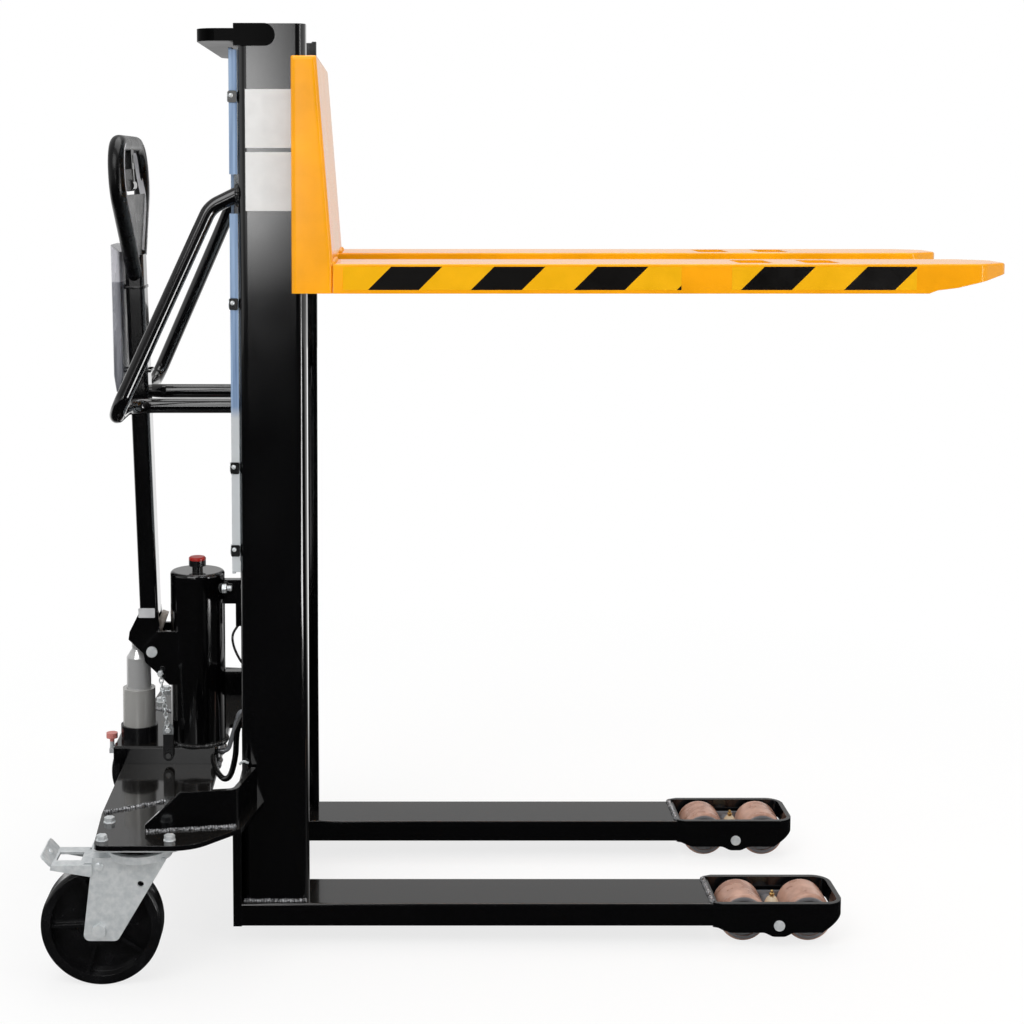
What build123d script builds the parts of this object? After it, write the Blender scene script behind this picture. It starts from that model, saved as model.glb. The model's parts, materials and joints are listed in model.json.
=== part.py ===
from build123d import *
import os
from math import atan2, cos, hypot, radians, sin

# Hand hydraulic pallet stacker, millimetres. X points along the forks, Y to the left, Z up.
# The origin is on the floor, midway along the truck. The forks stand fully raised.

# Mast
mast_back_x = -467.0
mast_width = 476.0
mast_height = 1508.0
post_depth = 110.0
post_flange = 40.0
post_web = 6.0
post_flange_wall = 8.0
post_corner = 16.0
head_depth = 64.0
head_thickness = 20.0
head_drop = 8.0
head_corner = 30.0
strap_length = 61.0
strap_height = 35.0
strap_wall = 8.0
strap_back = 4.0
cross_bar_wall = 8.0
low_bar_spans = ((349.0, 400.0), (513.5, 564.0), (850.0, 910.0))
top_bar_drop = 58.0
top_bar_height = 50.0
anchor_bar = 2
anchor_height = 30.0
rear_plate_wall = 14.0
rear_window_margin = 30.0
foot_bar_height = 20.0
foot_bar_depth = 70.0
foot_bar_length = 356.0

# Forks and straddle legs
fork_overall_width = 550.0
fork_width = 160.0
fork_length = 1145.0
fork_heel_x = -379.0
fork_height = 47.0
fork_wall = 5.0
fork_raised_drop = 380.0
fork_top_lowered = 88.0
fork_nose_length = 133.0
fork_nose_step = (13.0, 5.0)
fork_nose_bend = (45.0, 9.0)
fork_nose_thickness = 17.0
fork_tip_width = 84.0
fork_tip_taper = 46.0
fork_tip_round = 24.0
window_length = 55.0
window_width = 95.0
leg_width = 110.0
leg_height = 39.0
leg_ground_gap = 33.0
leg_wall = 5.0
leg_front_x = 318.0
leg_corner = 4.0

# Roller frames, bogies and load rollers
frame_front_x = 525.0
frame_wall = 9.0
frame_front_wall = 8.0
frame_inner_corner = 18.0
frame_top_rise = 3.0
frame_lap = 8.0
frame_drop_run = 20.0
frame_corner = 30.0
frame_drop = 7.0
hub_drop = 7.0
hub_width = 20.0
hub_flare = 14.0
hub_round = 16.0
frame_nose_rise = 25.0
frame_nose_run = 36.0
bogie_x = 418.0
bogie_pin_z = 38.0
bogie_pin_diameter = 18.0
bogie_sleeve_wall = 3.5
bogie_plate = 6.0
bogie_plate_height = 30.0
load_roller_diameter = 80.0
load_roller_width = 78.0
load_roller_spacing = 108.0
load_roller_axle = 12.0
load_roller_edge = 9.0
roller_side_gap = 2.0
roller_recess = 3.0
roller_recess_radii = (13.0, 30.0)

# Carriage
carriage_height = 328.0
side_plate_wall = 12.0
side_plate_top = 40.5
side_plate_foot = 66.0
side_plate_corner = 3.0
side_plate_bend = 8.0
front_plate_wall = 8.0
roller_plate_wall = 10.0
roller_plate_gap = 4.0
roller_plate_back = 28.0
guide_roller_width = 26.0
guide_roller_gap = 1.0
guide_axle = 25.0
guide_roller_rises = (47.0, 277.0)
tie_bar_depth = 20.0
tie_bar_height = 30.0
tie_bar_rise = 22.0

# Lift cylinder, rod and chains
lift_x = -407.0
cylinder_diameter = 56.0
cylinder_bore = 44.0
cylinder_floor = 12.0
gland_diameter = 62.0
gland_length = 35.0
rod_diameter = 35.0
piston_length = 35.0
piston_clearance = 0.2
crosshead_gap = 10.0
crosshead_width = 92.0
crosshead_depth = 40.0
crosshead_height = 50.0
pulley_pitch_radius = 43.0
pulley_width = 24.0
pulley_groove = 17.0
pulley_flange = 4.0
pulley_axle = 20.0
pulley_gap = 2.0
pulley_drop = 68.0
chain_width = 16.0
chain_thickness = 9.0

# Guard panel at the back of the mast
guard_bottom_z = 619.0
guard_top_gap = 9.0
guard_wall = 5.0
guard_standoff = 8.0
guard_inset = 8.0
guard_return = 3.5
guard_bolt_diameter = 8.0
guard_bolt_head = 3.0
guard_bolt_rises = (39.0, 175.0)
guard_bolt_drops = (410.0, 78.0)

# Push handles
push_tube = 25.0
push_tube_wall = 2.5
push_top_drop = 292.0
push_low_z = 880.0
push_back_reach = 197.0
push_top_reach = 45.0
push_top_rise = 22.0
push_low_y = 104.0
push_outer_y = 269.0
push_bends = (40.0, 35.0, 40.0)

# Base plate, wings and casters
base_top_z = 241.0
base_wall = 8.0
base_back_x = -688.0
base_front_x = -522.0
base_notch_y = 190.0
seam_back_y = 297.0
seam_front_x = -591.0
wing_outer_y = 441.0
wing_bend_x = -528.0
wing_tip = (-455.0, 358.0)
wing_post_x = -430.0
wing_bend_radius = 70.0
rib_wall = 8.0
rib_height = 60.0
rib_back = (-608.0, 376.0)
rib_bend = (-468.0, 352.0)
rib_slope_run = 55.0
caster_x = -617.0
caster_y = 376.0
caster_trail = 59.0
wheel_diameter = 190.0
wheel_width = 50.0
wheel_rim = 16.0
wheel_web = 14.0
wheel_hub_diameter = 52.0
wheel_hub_width = 58.0
wheel_axle = 20.0
wheel_rib_count = 5
wheel_rib_turn = 38.0
wheel_rib_wall = 5.0
wheel_rib_depth = 10.0
caster_plate_size = (135.0, 110.0)
caster_bolt_pattern = (105.0, 80.0)
caster_plate_wall = 6.0
caster_race_diameter = 84.0
caster_race_height = 9.0
yoke_wall = 5.0
yoke_crown = 12.0
yoke_crown_diameter = 104.0
yoke_side_gap = 1.0
yoke_foot = (26.0, 28.0)
yoke_foot_drop = 18.0
yoke_foot_round = 10.0
yoke_hole = (6.0, 37.0)
yoke_hole_diameter = 10.0
king_pin = 18.0
bolt_head = 17.0
pedal_pivot = (0.0, 101.5)
pedal_length = 74.0
pedal_width = 59.0
pedal_tread_width = 79.0
pedal_tread_front = 28.0
pedal_wall = 4.0
pedal_skirt = 15.0
pedal_tread_skirt = 18.0
pedal_lip_run = 20.0
pedal_lip_rise = 26.0
pedal_pin = 8.0
pedal_slot = (40.0, 36.0)
pedal_slot_gap = 5.0
pedal_lip_hole = 10.0

# Pump unit
block_back_x = -707.0
block_front_x = -523.0
block_width = 90.0
block_height = 31.0
tank_x = -561.0
tank_diameter = 96.0
tank_height = 304.0
tank_rim = 6.0
cap_diameter = 30.0
cap_height = 16.0
neck_diameter = 19.0
neck_height = 8.0
pump_x = -666.0
collar_diameter = 65.0
collar_height = 28.0
sleeve_diameter = 57.0
sleeve_height = 66.0
piston_diameter = 43.0
piston_height = 52.0
piston_cone = 15.0
piston_neck = 24.0
piston_button = 8.7
piston_engaged = 21.0
piston_slack = 0.5
stay_width = 16.0
pipe_diameter = 8.0
pipe_y = 20.0
pipe_rise = 72.0
pipe_run = (15.0, 36.0)
pipe_bend = 12.0
valve_stem = 8.0
valve_cap = 20.0

# Pump handle
pivot_x = -638.0
pivot_z = 439.0
pivot_pin = 19.0
press_roller_diameter = 34.0
press_roller_width = 34.0
press_roller_axle = 12.0
press_roller_offset = (-24.0, 23.0)
cheek_wall = 8.0
cheek_gap = 2.0
ear_wall = 8.0
ear_drop = 59.0
ear_rise = 36.0
handle_lean = 1.75
handle_swing = 45.0
shaft_start = 61.0
shaft_length = 631.0
shaft_depth = 32.0
shaft_offset = -4.0
grip_tube = 27.0
grip_lean = 3.3
grip_width = 327.0
grip_lap = 43.0
grip_height = 234.0
grip_shoulder = 150.0
grip_foot_width = 20.0
grip_bends = (20.0, 60.0, 55.0, 55.0, 60.0, 20.0)
grip_web = 16.0
grip_web_height = 146.0
lever_wall = 8.0
lever_width = 16.0
lever_length = 36.0
lever_pin = 8.0
lever_pad = 20.0
lever_housing = 198.0
release_width = 18.0
release_wall = 8.0
release_pivot_rise = 17.0
release_length = 47.0
release_x = -609.0
release_pin = 10.0

# Clearances
running_fit = 0.1
side_fit = 0.3

# Places that follow from the sizes above
mast_half = mast_width / 2
mast_front_x = mast_back_x + post_depth
mast_x = mast_back_x + post_depth / 2
post_inner_y = mast_half - post_flange
channel_gap = post_depth - 2 * post_flange_wall
fork_y = (fork_overall_width - fork_width) / 2
fork_tip_x = fork_heel_x + fork_length
fork_top_raised = mast_height - fork_raised_drop
fork_bottom = fork_top_raised - fork_height
fork_front_x = fork_heel_x + side_plate_foot
lift_travel = fork_top_raised - fork_top_lowered
rod_stroke = lift_travel / 2
leg_top = leg_ground_gap + leg_height
leg_half = leg_width / 2
frame_half = leg_half + frame_wall
frame_top = leg_top + frame_top_rise
frame_bottom = leg_ground_gap - frame_drop
roller_radius = load_roller_diameter / 2
bogie_inner = load_roller_width / 2 + roller_side_gap
bogie_outer = bogie_inner + bogie_plate
guide_roller_diameter = channel_gap - guide_roller_gap
roller_plate_outer = post_inner_y - roller_plate_gap
roller_plate_inner = roller_plate_outer - roller_plate_wall
guide_roller_y = mast_half - post_web - guide_roller_width / 2 - 3 * guide_roller_gap
side_plate_inner = fork_overall_width / 2 - side_plate_wall
carriage_top = fork_top_raised + carriage_height
foot_bar_top = leg_top + foot_bar_height
pulley_z = mast_height - pulley_drop
crosshead_bottom = pulley_z - crosshead_height / 2
cylinder_top = crosshead_bottom - rod_stroke - crosshead_gap
rod_bottom = foot_bar_top + cylinder_floor + crosshead_gap + rod_stroke
pulley_y = crosshead_width / 2 + pulley_gap + pulley_width / 2
tie_bar_bottom = fork_top_raised + tie_bar_rise
tie_bar_top = tie_bar_bottom + tie_bar_height
front_strand_x = lift_x + pulley_pitch_radius
back_strand_x = lift_x - pulley_pitch_radius
top_bar_z = mast_height - top_bar_drop
cross_bar_spans = low_bar_spans + ((top_bar_z - top_bar_height, top_bar_z),)
anchor_top = cross_bar_spans[anchor_bar][0] + anchor_height
push_top_z = mast_height - push_top_drop
guard_half = mast_half - guard_inset
guard_top_z = mast_height - head_drop - head_thickness - guard_top_gap
guard_bolt_heights = [guard_bottom_z + rise for rise in guard_bolt_rises]
guard_bolt_heights += [guard_top_z - drop for drop in guard_bolt_drops]
guard_bolt_y = mast_half - post_flange / 2
base_bottom = base_top_z - base_wall
wheel_x = caster_x - caster_trail
wheel_radius = wheel_diameter / 2
caster_plate_bottom = base_bottom - caster_plate_wall
race_bottom = caster_plate_bottom - caster_race_height
crown_top = race_bottom - side_fit
crown_bottom = crown_top - yoke_crown
yoke_inner = wheel_hub_width / 2 + yoke_side_gap
yoke_outer = yoke_inner + yoke_wall
block_top = base_top_z + block_height
tank_top = block_top + tank_height
collar_top = block_top + collar_height
sleeve_top = collar_top + sleeve_height
piston_bore = piston_diameter + 2 * piston_slack
press_roller_radius = press_roller_diameter / 2
press_roller_x = pivot_x + press_roller_offset[0]
press_roller_z = pivot_z + press_roller_offset[1]
piston_top = press_roller_z - press_roller_radius - side_fit
press_angle = atan2(press_roller_offset[1], press_roller_offset[0])
press_arm = hypot(*press_roller_offset)
pump_stroke = press_arm * (sin(press_angle) - sin(press_angle + radians(handle_swing)))
cheek_inner = press_roller_width / 2 + cheek_gap
cheek_outer = cheek_inner + cheek_wall
release_z = base_top_z + release_pivot_rise
ear_inner = cheek_outer + cheek_gap
ear_outer = ear_inner + ear_wall

# Planes of the leaning pump handle: along the shaft, and across the grip
lean = radians(handle_lean)
shaft_up = Vector(-sin(lean), 0, cos(lean))
shaft_forward = Vector(cos(lean), 0, sin(lean))
pivot = Vector(pivot_x, 0, pivot_z)
shaft_axis = pivot + shaft_forward * shaft_offset
shaft_foot = shaft_axis + shaft_up * shaft_start
grip_foot = shaft_axis + shaft_up * (shaft_start + shaft_length - grip_lap)
grip_tilt = radians(grip_lean)
grip_up = Vector(-sin(grip_tilt), 0, cos(grip_tilt))
grip_forward = Vector(cos(grip_tilt), 0, sin(grip_tilt))
grip_plane = Plane(origin=grip_foot, x_dir=(0, 1, 0), z_dir=grip_forward)
lever_pivot = grip_foot + grip_up * lever_housing


def keep(piece, name):
    """Labels a finished piece and writes its file."""
    piece.part.label = name
    export_step(piece.part, f"parts/{name}.step")


def block(x, y, z, mode=Mode.ADD):
    """Fills the given ranges of x, y and z in the open part."""
    with Locations(((x[0] + x[1]) / 2, (y[0] + y[1]) / 2, (z[0] + z[1]) / 2)):
        Box(abs(x[1] - x[0]), abs(y[1] - y[0]), abs(z[1] - z[0]), mode=mode)


def rod(start, end, diameter, mode=Mode.ADD):
    """Puts a round bar between two points of the open part."""
    start = Vector(start)
    end = Vector(end)
    with Locations(Plane(origin=(start + end) * 0.5, z_dir=end - start)):
        Cylinder(diameter / 2, (end - start).length, mode=mode)


def ring(radius, inner_radius, low, high, mode=Mode.ADD):
    """Puts an upright ring round the lift axis of the open part."""
    with Locations((lift_x, 0, (low + high) / 2)):
        Cylinder(radius, high - low, mode=mode)
        Cylinder(inner_radius, high - low, mode=Mode.SUBTRACT)


os.makedirs("parts", exist_ok=True)

# Mast: two channels with their open sides facing each other
with BuildPart() as mast_post_right:
    with BuildSketch(Plane.XY.offset(leg_top)) as channel:
        with Locations((mast_x, -(mast_half - post_flange / 2))):
            Rectangle(post_depth, post_flange)
        fillet(channel.vertices().sort_by(Axis.Y)[:2], post_corner)
        with Locations((mast_x, -(mast_half - post_web - (post_flange - post_web) / 2))):
            Rectangle(channel_gap, post_flange - post_web, mode=Mode.SUBTRACT)
    extrude(amount=mast_height - leg_top)
keep(mast_post_right, "mast_post_right")

with BuildPart() as mast_post_left:
    mirror(mast_post_right.part, about=Plane.XZ)
keep(mast_post_left, "mast_post_left")

# Head of the mast: a plate behind the posts with a strap along each post's side
head_half = mast_half + strap_wall
head_top = mast_height - head_drop
with BuildPart() as mast_head:
    with BuildSketch(Plane.XY.offset(head_top - head_thickness)) as head_plan:
        with Locations((mast_back_x - head_depth / 2, 0)):
            Rectangle(head_depth, 2 * head_half)
        fillet(head_plan.vertices().sort_by(Axis.X)[:2], head_corner)
    extrude(amount=head_thickness)
    for side in (-1, 1):
        near_y = -head_half if side < 0 else mast_half
        with BuildSketch(Plane.XZ.offset(-near_y)) as strap:
            strap_middle = mast_back_x + (strap_length - strap_back) / 2
            with Locations((strap_middle, mast_height - strap_height / 2)):
                Rectangle(strap_length + strap_back, strap_height)
            fillet(strap.vertices().sort_by(Axis.X)[-2:], strap_height / 2 - 1)
        extrude(amount=-strap_wall)
keep(mast_head, "mast_head")

# Bars between the posts, with a lug for each chain, and the foot of the lift cylinder on the legs
with BuildPart() as mast_cross_bars:
    for low, high in cross_bar_spans:
        block((mast_back_x, mast_back_x + cross_bar_wall), (-post_inner_y, post_inner_y), (low, high))
    for side in (-1, 1):
        lug_half = chain_width / 2 + 4
        block(
            (mast_back_x + cross_bar_wall, back_strand_x + chain_thickness / 2 + 2),
            (side * (pulley_y - lug_half), side * (pulley_y + lug_half)),
            (cross_bar_spans[anchor_bar][0], anchor_top),
        )
    block(
        (lift_x - foot_bar_depth / 2, lift_x + foot_bar_depth / 2),
        (-foot_bar_length / 2, foot_bar_length / 2),
        (leg_top, foot_bar_top),
    )
keep(mast_cross_bars, "mast_cross_bars")

with BuildPart() as rear_cross_plate:
    with BuildSketch(Plane.YZ.offset(mast_back_x - rear_plate_wall)):
        with Locations((0, (leg_ground_gap + base_bottom) / 2)):
            Rectangle(2 * (fork_y + leg_half), base_bottom - leg_ground_gap)
        with Locations((0, (leg_top + base_bottom) / 2)):
            window_high = base_bottom - leg_top - 2 * rear_window_margin
            window_wide = 2 * (base_notch_y - rear_window_margin)
            RectangleRounded(window_wide, window_high, 20, mode=Mode.SUBTRACT)
    extrude(amount=rear_plate_wall)
keep(rear_cross_plate, "rear_cross_plate")

# Straddle legs: rectangular tubes from the rear plate to the roller frames
with BuildPart() as straddle_leg_right:
    with BuildSketch(Plane.YZ.offset(mast_back_x)):
        with Locations((-fork_y, leg_ground_gap + leg_height / 2)):
            RectangleRounded(leg_width, leg_height, leg_corner)
            Rectangle(leg_width - 2 * leg_wall, leg_height - 2 * leg_wall, mode=Mode.SUBTRACT)
    extrude(amount=leg_front_x - mast_back_x)
keep(straddle_leg_right, "straddle_leg_right")

with BuildPart() as straddle_leg_left:
    mirror(straddle_leg_right.part, about=Plane.XZ)
keep(straddle_leg_left, "straddle_leg_left")

# Roller frames: a bent plate round the front of each leg, with a dropped hub for the bogie pin
frame_back_x = leg_front_x - frame_lap
with BuildPart() as roller_frame_right:
    with BuildSketch(Plane.XY.offset(frame_bottom - hub_drop)) as frame_plan:
        with Locations((0, -fork_y)):
            Polygon(
                (frame_back_x, -leg_half - 2),
                (leg_front_x + frame_lap, -frame_half),
                (frame_front_x, -frame_half),
                (frame_front_x, frame_half),
                (leg_front_x + frame_lap, frame_half),
                (frame_back_x, leg_half + 2),
                align=None,
            )
        fillet(frame_plan.vertices().sort_by(Axis.X)[-2:], frame_corner)
        opening_front = frame_front_x - frame_front_wall
        opening_back = frame_back_x - 2 * frame_inner_corner
        with Locations(((opening_back + opening_front) / 2, -fork_y)):
            RectangleRounded(opening_front - opening_back, leg_width, frame_inner_corner, mode=Mode.SUBTRACT)
    extrude(amount=frame_top - frame_bottom + hub_drop)
    with BuildSketch(Plane.XZ.offset(fork_y)) as frame_side:
        Polygon(
            (frame_back_x, frame_top),
            (frame_back_x, leg_ground_gap),
            (leg_front_x, leg_ground_gap),
            (leg_front_x + frame_drop_run, frame_bottom),
            (bogie_x - hub_width / 2 - hub_flare, frame_bottom),
            (bogie_x - hub_width / 2, frame_bottom - hub_drop),
            (bogie_x + hub_width / 2, frame_bottom - hub_drop),
            (bogie_x + hub_width / 2 + hub_flare, frame_bottom),
            (frame_front_x - frame_nose_run, frame_bottom),
            (frame_front_x, frame_bottom + frame_nose_rise),
            (frame_front_x, frame_top),
            align=None,
        )
        hub_edges = frame_side.vertices().filter_by(
            lambda v: abs(v.X - bogie_x) < hub_width + hub_flare and v.Y < leg_ground_gap
        )
        fillet(hub_edges, hub_round)
    extrude(amount=frame_half, both=True, mode=Mode.INTERSECT)
    rod(
        (bogie_x, -fork_y - frame_half, bogie_pin_z),
        (bogie_x, -fork_y + frame_half, bogie_pin_z),
        bogie_pin_diameter,
        mode=Mode.SUBTRACT,
    )
keep(roller_frame_right, "roller_frame_right")

with BuildPart() as roller_frame_left:
    mirror(roller_frame_right.part, about=Plane.XZ)
keep(roller_frame_left, "roller_frame_left")

with BuildPart() as bogie_pins:
    for side in (-1, 1):
        rod(
            (bogie_x, side * fork_y - frame_half - 2, bogie_pin_z),
            (bogie_x, side * fork_y + frame_half + 2, bogie_pin_z),
            bogie_pin_diameter,
        )
keep(bogie_pins, "bogie_pins")


def bogie(y):
    """Rocking cradle: two slotted plates, a sleeve on the bogie pin and the two roller axles."""
    with BuildPart() as cradle:
        with BuildSketch(Plane.XZ.offset(bogie_outer - y)):
            with Locations((bogie_x, roller_radius)):
                SlotCenterToCenter(load_roller_spacing, bogie_plate_height)
        extrude(amount=-2 * bogie_outer)
        block(
            (bogie_x - load_roller_spacing, bogie_x + load_roller_spacing),
            (y - bogie_inner, y + bogie_inner),
            (0, load_roller_diameter),
            mode=Mode.SUBTRACT,
        )
        sleeve = bogie_pin_diameter + 2 * bogie_sleeve_wall
        rod((bogie_x, y - bogie_outer, bogie_pin_z), (bogie_x, y + bogie_outer, bogie_pin_z), sleeve)
        for offset in (-load_roller_spacing / 2, load_roller_spacing / 2):
            x = bogie_x + offset
            rod((x, y - bogie_outer, roller_radius), (x, y + bogie_outer, roller_radius), load_roller_axle)
        nipple_foot = bogie_pin_z + bogie_pin_diameter / 2 + 1
        rod((bogie_x, y, nipple_foot), (bogie_x, y, nipple_foot + 14), 8)
        rod(
            (bogie_x, y - frame_half, bogie_pin_z),
            (bogie_x, y + frame_half, bogie_pin_z),
            bogie_pin_diameter + running_fit,
            mode=Mode.SUBTRACT,
        )
    return cradle


def load_roller(x, y):
    """Moulded roller with a rounded tread and a shallow recess in each side."""
    with BuildPart() as roller:
        with Locations(Plane(origin=(x, y, roller_radius), z_dir=(0, -1, 0))):
            Cylinder(roller_radius, load_roller_width)
        fillet(roller.edges().filter_by(GeomType.CIRCLE), load_roller_edge)
        inner, outer = roller_recess_radii
        for side in (-1, 1):
            face = y + side * load_roller_width / 2
            with Locations(Plane(origin=(x, face, roller_radius), z_dir=(0, -1, 0))):
                Cylinder(outer, 2 * roller_recess, mode=Mode.SUBTRACT)
            rod((x, face, roller_radius), (x, face - side * roller_recess, roller_radius), 2 * inner)
        rod(
            (x, y - load_roller_width, roller_radius),
            (x, y + load_roller_width, roller_radius),
            load_roller_axle + running_fit,
            mode=Mode.SUBTRACT,
        )
    return roller


for side, side_name in ((-1, "right"), (1, "left")):
    keep(bogie(side * fork_y), f"bogie_{side_name}")
    for offset, place in ((-1, "rear"), (1, "front")):
        roller_x = bogie_x + offset * load_roller_spacing / 2
        keep(load_roller(roller_x, side * fork_y), f"load_roller_{place}_{side_name}")

# Forks: bent channels open below, with a wedge nose and two windows over the load rollers
fork_half = fork_width / 2
nose_x = fork_tip_x - fork_nose_length
with BuildPart() as fork_right:
    with BuildSketch(Plane.XY.offset(fork_bottom)) as fork_plan:
        with Locations((0, -fork_y)):
            Polygon(
                (fork_front_x, -fork_half),
                (fork_tip_x - fork_tip_taper, -fork_half),
                (fork_tip_x, -fork_tip_width / 2),
                (fork_tip_x, fork_tip_width / 2),
                (fork_tip_x - fork_tip_taper, fork_half),
                (fork_front_x, fork_half),
                align=None,
            )
        fillet(fork_plan.vertices().sort_by(Axis.X)[2:], fork_tip_round)
    extrude(amount=fork_height)
    fillet(fork_right.edges().filter_by(Axis.X).group_by(Axis.Z)[-1], fork_wall - 1)
    with BuildSketch(Plane.XZ.offset(fork_y)):
        Polygon(
            (fork_front_x, fork_bottom),
            (nose_x, fork_bottom),
            (nose_x + fork_nose_step[0], fork_bottom + fork_nose_step[1]),
            (nose_x + fork_nose_bend[0], fork_bottom + fork_nose_bend[1]),
            (fork_tip_x, fork_top_raised - fork_nose_thickness),
            (fork_tip_x, fork_top_raised),
            (fork_front_x, fork_top_raised),
            align=None,
        )
    extrude(amount=fork_half, both=True, mode=Mode.INTERSECT)
    block(
        (fork_front_x, nose_x),
        (-fork_y - fork_half + fork_wall, -fork_y + fork_half - fork_wall),
        (fork_bottom, fork_top_raised - fork_wall),
        mode=Mode.SUBTRACT,
    )
    with BuildSketch(Plane.XY.offset(fork_top_raised - fork_wall)):
        with Locations((bogie_x, -fork_y)):
            with GridLocations(load_roller_spacing, 1, 2, 1):
                RectangleRounded(window_length, window_width, 8)
    extrude(amount=fork_wall, mode=Mode.SUBTRACT)
keep(fork_right, "fork_right")

with BuildPart() as fork_left:
    mirror(fork_right.part, about=Plane.XZ)
keep(fork_left, "fork_left")

# Carriage: side plates outside the posts, a sloping front plate and the roller plates between the posts
guide_roller_z = [fork_top_raised + rise for rise in guide_roller_rises]
with BuildPart() as carriage_frame:
    for side in (-1, 1):
        near_y = side * fork_overall_width / 2 if side < 0 else side * side_plate_inner
        with BuildSketch(Plane.XZ.offset(-near_y)) as side_plate:
            Polygon(
                (fork_heel_x, fork_bottom),
                (fork_front_x, fork_bottom),
                (fork_front_x, fork_top_raised),
                (fork_heel_x + side_plate_top, carriage_top),
                (fork_heel_x, carriage_top),
                align=None,
            )
            fillet(side_plate.vertices().sort_by(Axis.Y)[-2:], side_plate_corner)
        extrude(amount=-side_plate_wall)
    with BuildSketch(Plane.XZ.offset(side_plate_inner)):
        Polygon(
            (fork_front_x, fork_top_raised - fork_wall),
            (fork_front_x, fork_top_raised),
            (fork_heel_x + side_plate_top, carriage_top),
            (fork_heel_x + side_plate_top - front_plate_wall, carriage_top),
            (fork_front_x - front_plate_wall, fork_top_raised),
            (fork_front_x - front_plate_wall, fork_top_raised - fork_wall),
            align=None,
        )
    extrude(amount=-2 * side_plate_inner)
    bends = carriage_frame.edges().filter_by(
        lambda e: abs(e.center().Y) > side_plate_inner + side_plate_wall - 1
        and e.length > carriage_height - 2 * side_plate_corner
        and e.center().X > fork_heel_x + side_plate_corner
    )
    fillet(bends, side_plate_bend)
    for side in (-1, 1):
        near_y = -roller_plate_outer if side < 0 else roller_plate_inner
        with BuildSketch(Plane.XZ.offset(-near_y)):
            plate_back = mast_x - roller_plate_back
            plate_low = tie_bar_bottom - 10
            plate_high = carriage_top - 16
            slope = (side_plate_foot - side_plate_top) / carriage_height
            low_front = fork_front_x - slope * (plate_low - fork_top_raised)
            high_front = fork_front_x - slope * (plate_high - fork_top_raised)
            Polygon(
                (plate_back, plate_low),
                (low_front - front_plate_wall / 2, plate_low),
                (high_front - front_plate_wall / 2, plate_high),
                (plate_back, plate_high),
                align=None,
            )
        extrude(amount=-roller_plate_wall)
        inner_face = guide_roller_y - guide_roller_width / 2 - side_fit
        outer_face = guide_roller_y + guide_roller_width / 2 + side_fit
        for z in guide_roller_z:
            rod((mast_x, side * roller_plate_inner, z), (mast_x, side * inner_face, z), guide_axle + 11)
            rod((mast_x, side * roller_plate_inner, z), (mast_x, side * outer_face, z), guide_axle)
    block(
        (front_strand_x - tie_bar_depth / 2, front_strand_x + tie_bar_depth / 2),
        (-roller_plate_inner, roller_plate_inner),
        (tie_bar_bottom, tie_bar_top),
    )
keep(carriage_frame, "carriage_frame")


def guide_roller(y, z):
    """Steel roller that runs between the flanges of a mast channel."""
    with BuildPart() as roller:
        with Locations(Plane(origin=(mast_x, y, z), z_dir=(0, -1, 0))):
            Cylinder(guide_roller_diameter / 2, guide_roller_width)
            chamfer(roller.edges(), 2)
            Cylinder((guide_axle + running_fit) / 2, guide_roller_width, mode=Mode.SUBTRACT)
    return roller


for side, side_name in ((-1, "right"), (1, "left")):
    for z, place in zip(guide_roller_z, ("lower", "upper")):
        keep(guide_roller(side * guide_roller_y, z), f"guide_roller_{place}_{side_name}")

# Lift cylinder on the foot bar, its rod, and the crosshead with the chain pulleys
with BuildPart() as lift_cylinder:
    ring(cylinder_diameter / 2, cylinder_bore / 2, foot_bar_top + cylinder_floor, cylinder_top - gland_length)
    ring(gland_diameter / 2, (rod_diameter + running_fit) / 2, cylinder_top - gland_length, cylinder_top)
    with Locations((lift_x, 0, foot_bar_top + cylinder_floor / 2)):
        Cylinder(gland_diameter / 2, cylinder_floor)
keep(lift_cylinder, "lift_cylinder")

with BuildPart() as piston_rod:
    rod((lift_x, 0, rod_bottom), (lift_x, 0, rod_bottom + piston_length), cylinder_bore - piston_clearance)
    rod((lift_x, 0, rod_bottom), (lift_x, 0, crosshead_bottom), rod_diameter)
keep(piston_rod, "piston_rod")

axle_half = pulley_y + pulley_width / 2 + side_fit
with BuildPart() as rod_crosshead:
    with Locations((lift_x, 0, pulley_z)):
        Box(crosshead_depth, crosshead_width, crosshead_height)
    fillet(rod_crosshead.edges().filter_by(Axis.Y), 6)
    rod((lift_x, -axle_half - 6, pulley_z), (lift_x, axle_half + 6, pulley_z), pulley_axle)
    for side in (-1, 1):
        rod((lift_x, side * axle_half, pulley_z), (lift_x, side * (axle_half + 6), pulley_z), pulley_axle + 12)
        shoulder = side * (pulley_y - pulley_width / 2 - side_fit)
        rod((lift_x, 0, pulley_z), (lift_x, shoulder, pulley_z), pulley_axle + 12)
keep(rod_crosshead, "rod_crosshead")


def chain_pulley(y):
    """Grooved pulley for one lift chain."""
    groove_radius = pulley_pitch_radius - chain_thickness / 2 - side_fit
    flange = (pulley_width - pulley_groove) / 2
    with BuildPart() as pulley:
        rod((lift_x, y - pulley_width / 2, pulley_z), (lift_x, y + pulley_width / 2, pulley_z), 2 * groove_radius)
        for side in (-1, 1):
            edge = y + side * pulley_width / 2
            rod(
                (lift_x, edge, pulley_z),
                (lift_x, edge - side * flange, pulley_z),
                2 * (pulley_pitch_radius + pulley_flange),
            )
        rod(
            (lift_x, y - pulley_width, pulley_z),
            (lift_x, y + pulley_width, pulley_z),
            pulley_axle + running_fit,
            mode=Mode.SUBTRACT,
        )
    return pulley


for side, side_name in ((-1, "right"), (1, "left")):
    keep(chain_pulley(side * pulley_y), f"chain_pulley_{side_name}")

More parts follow.
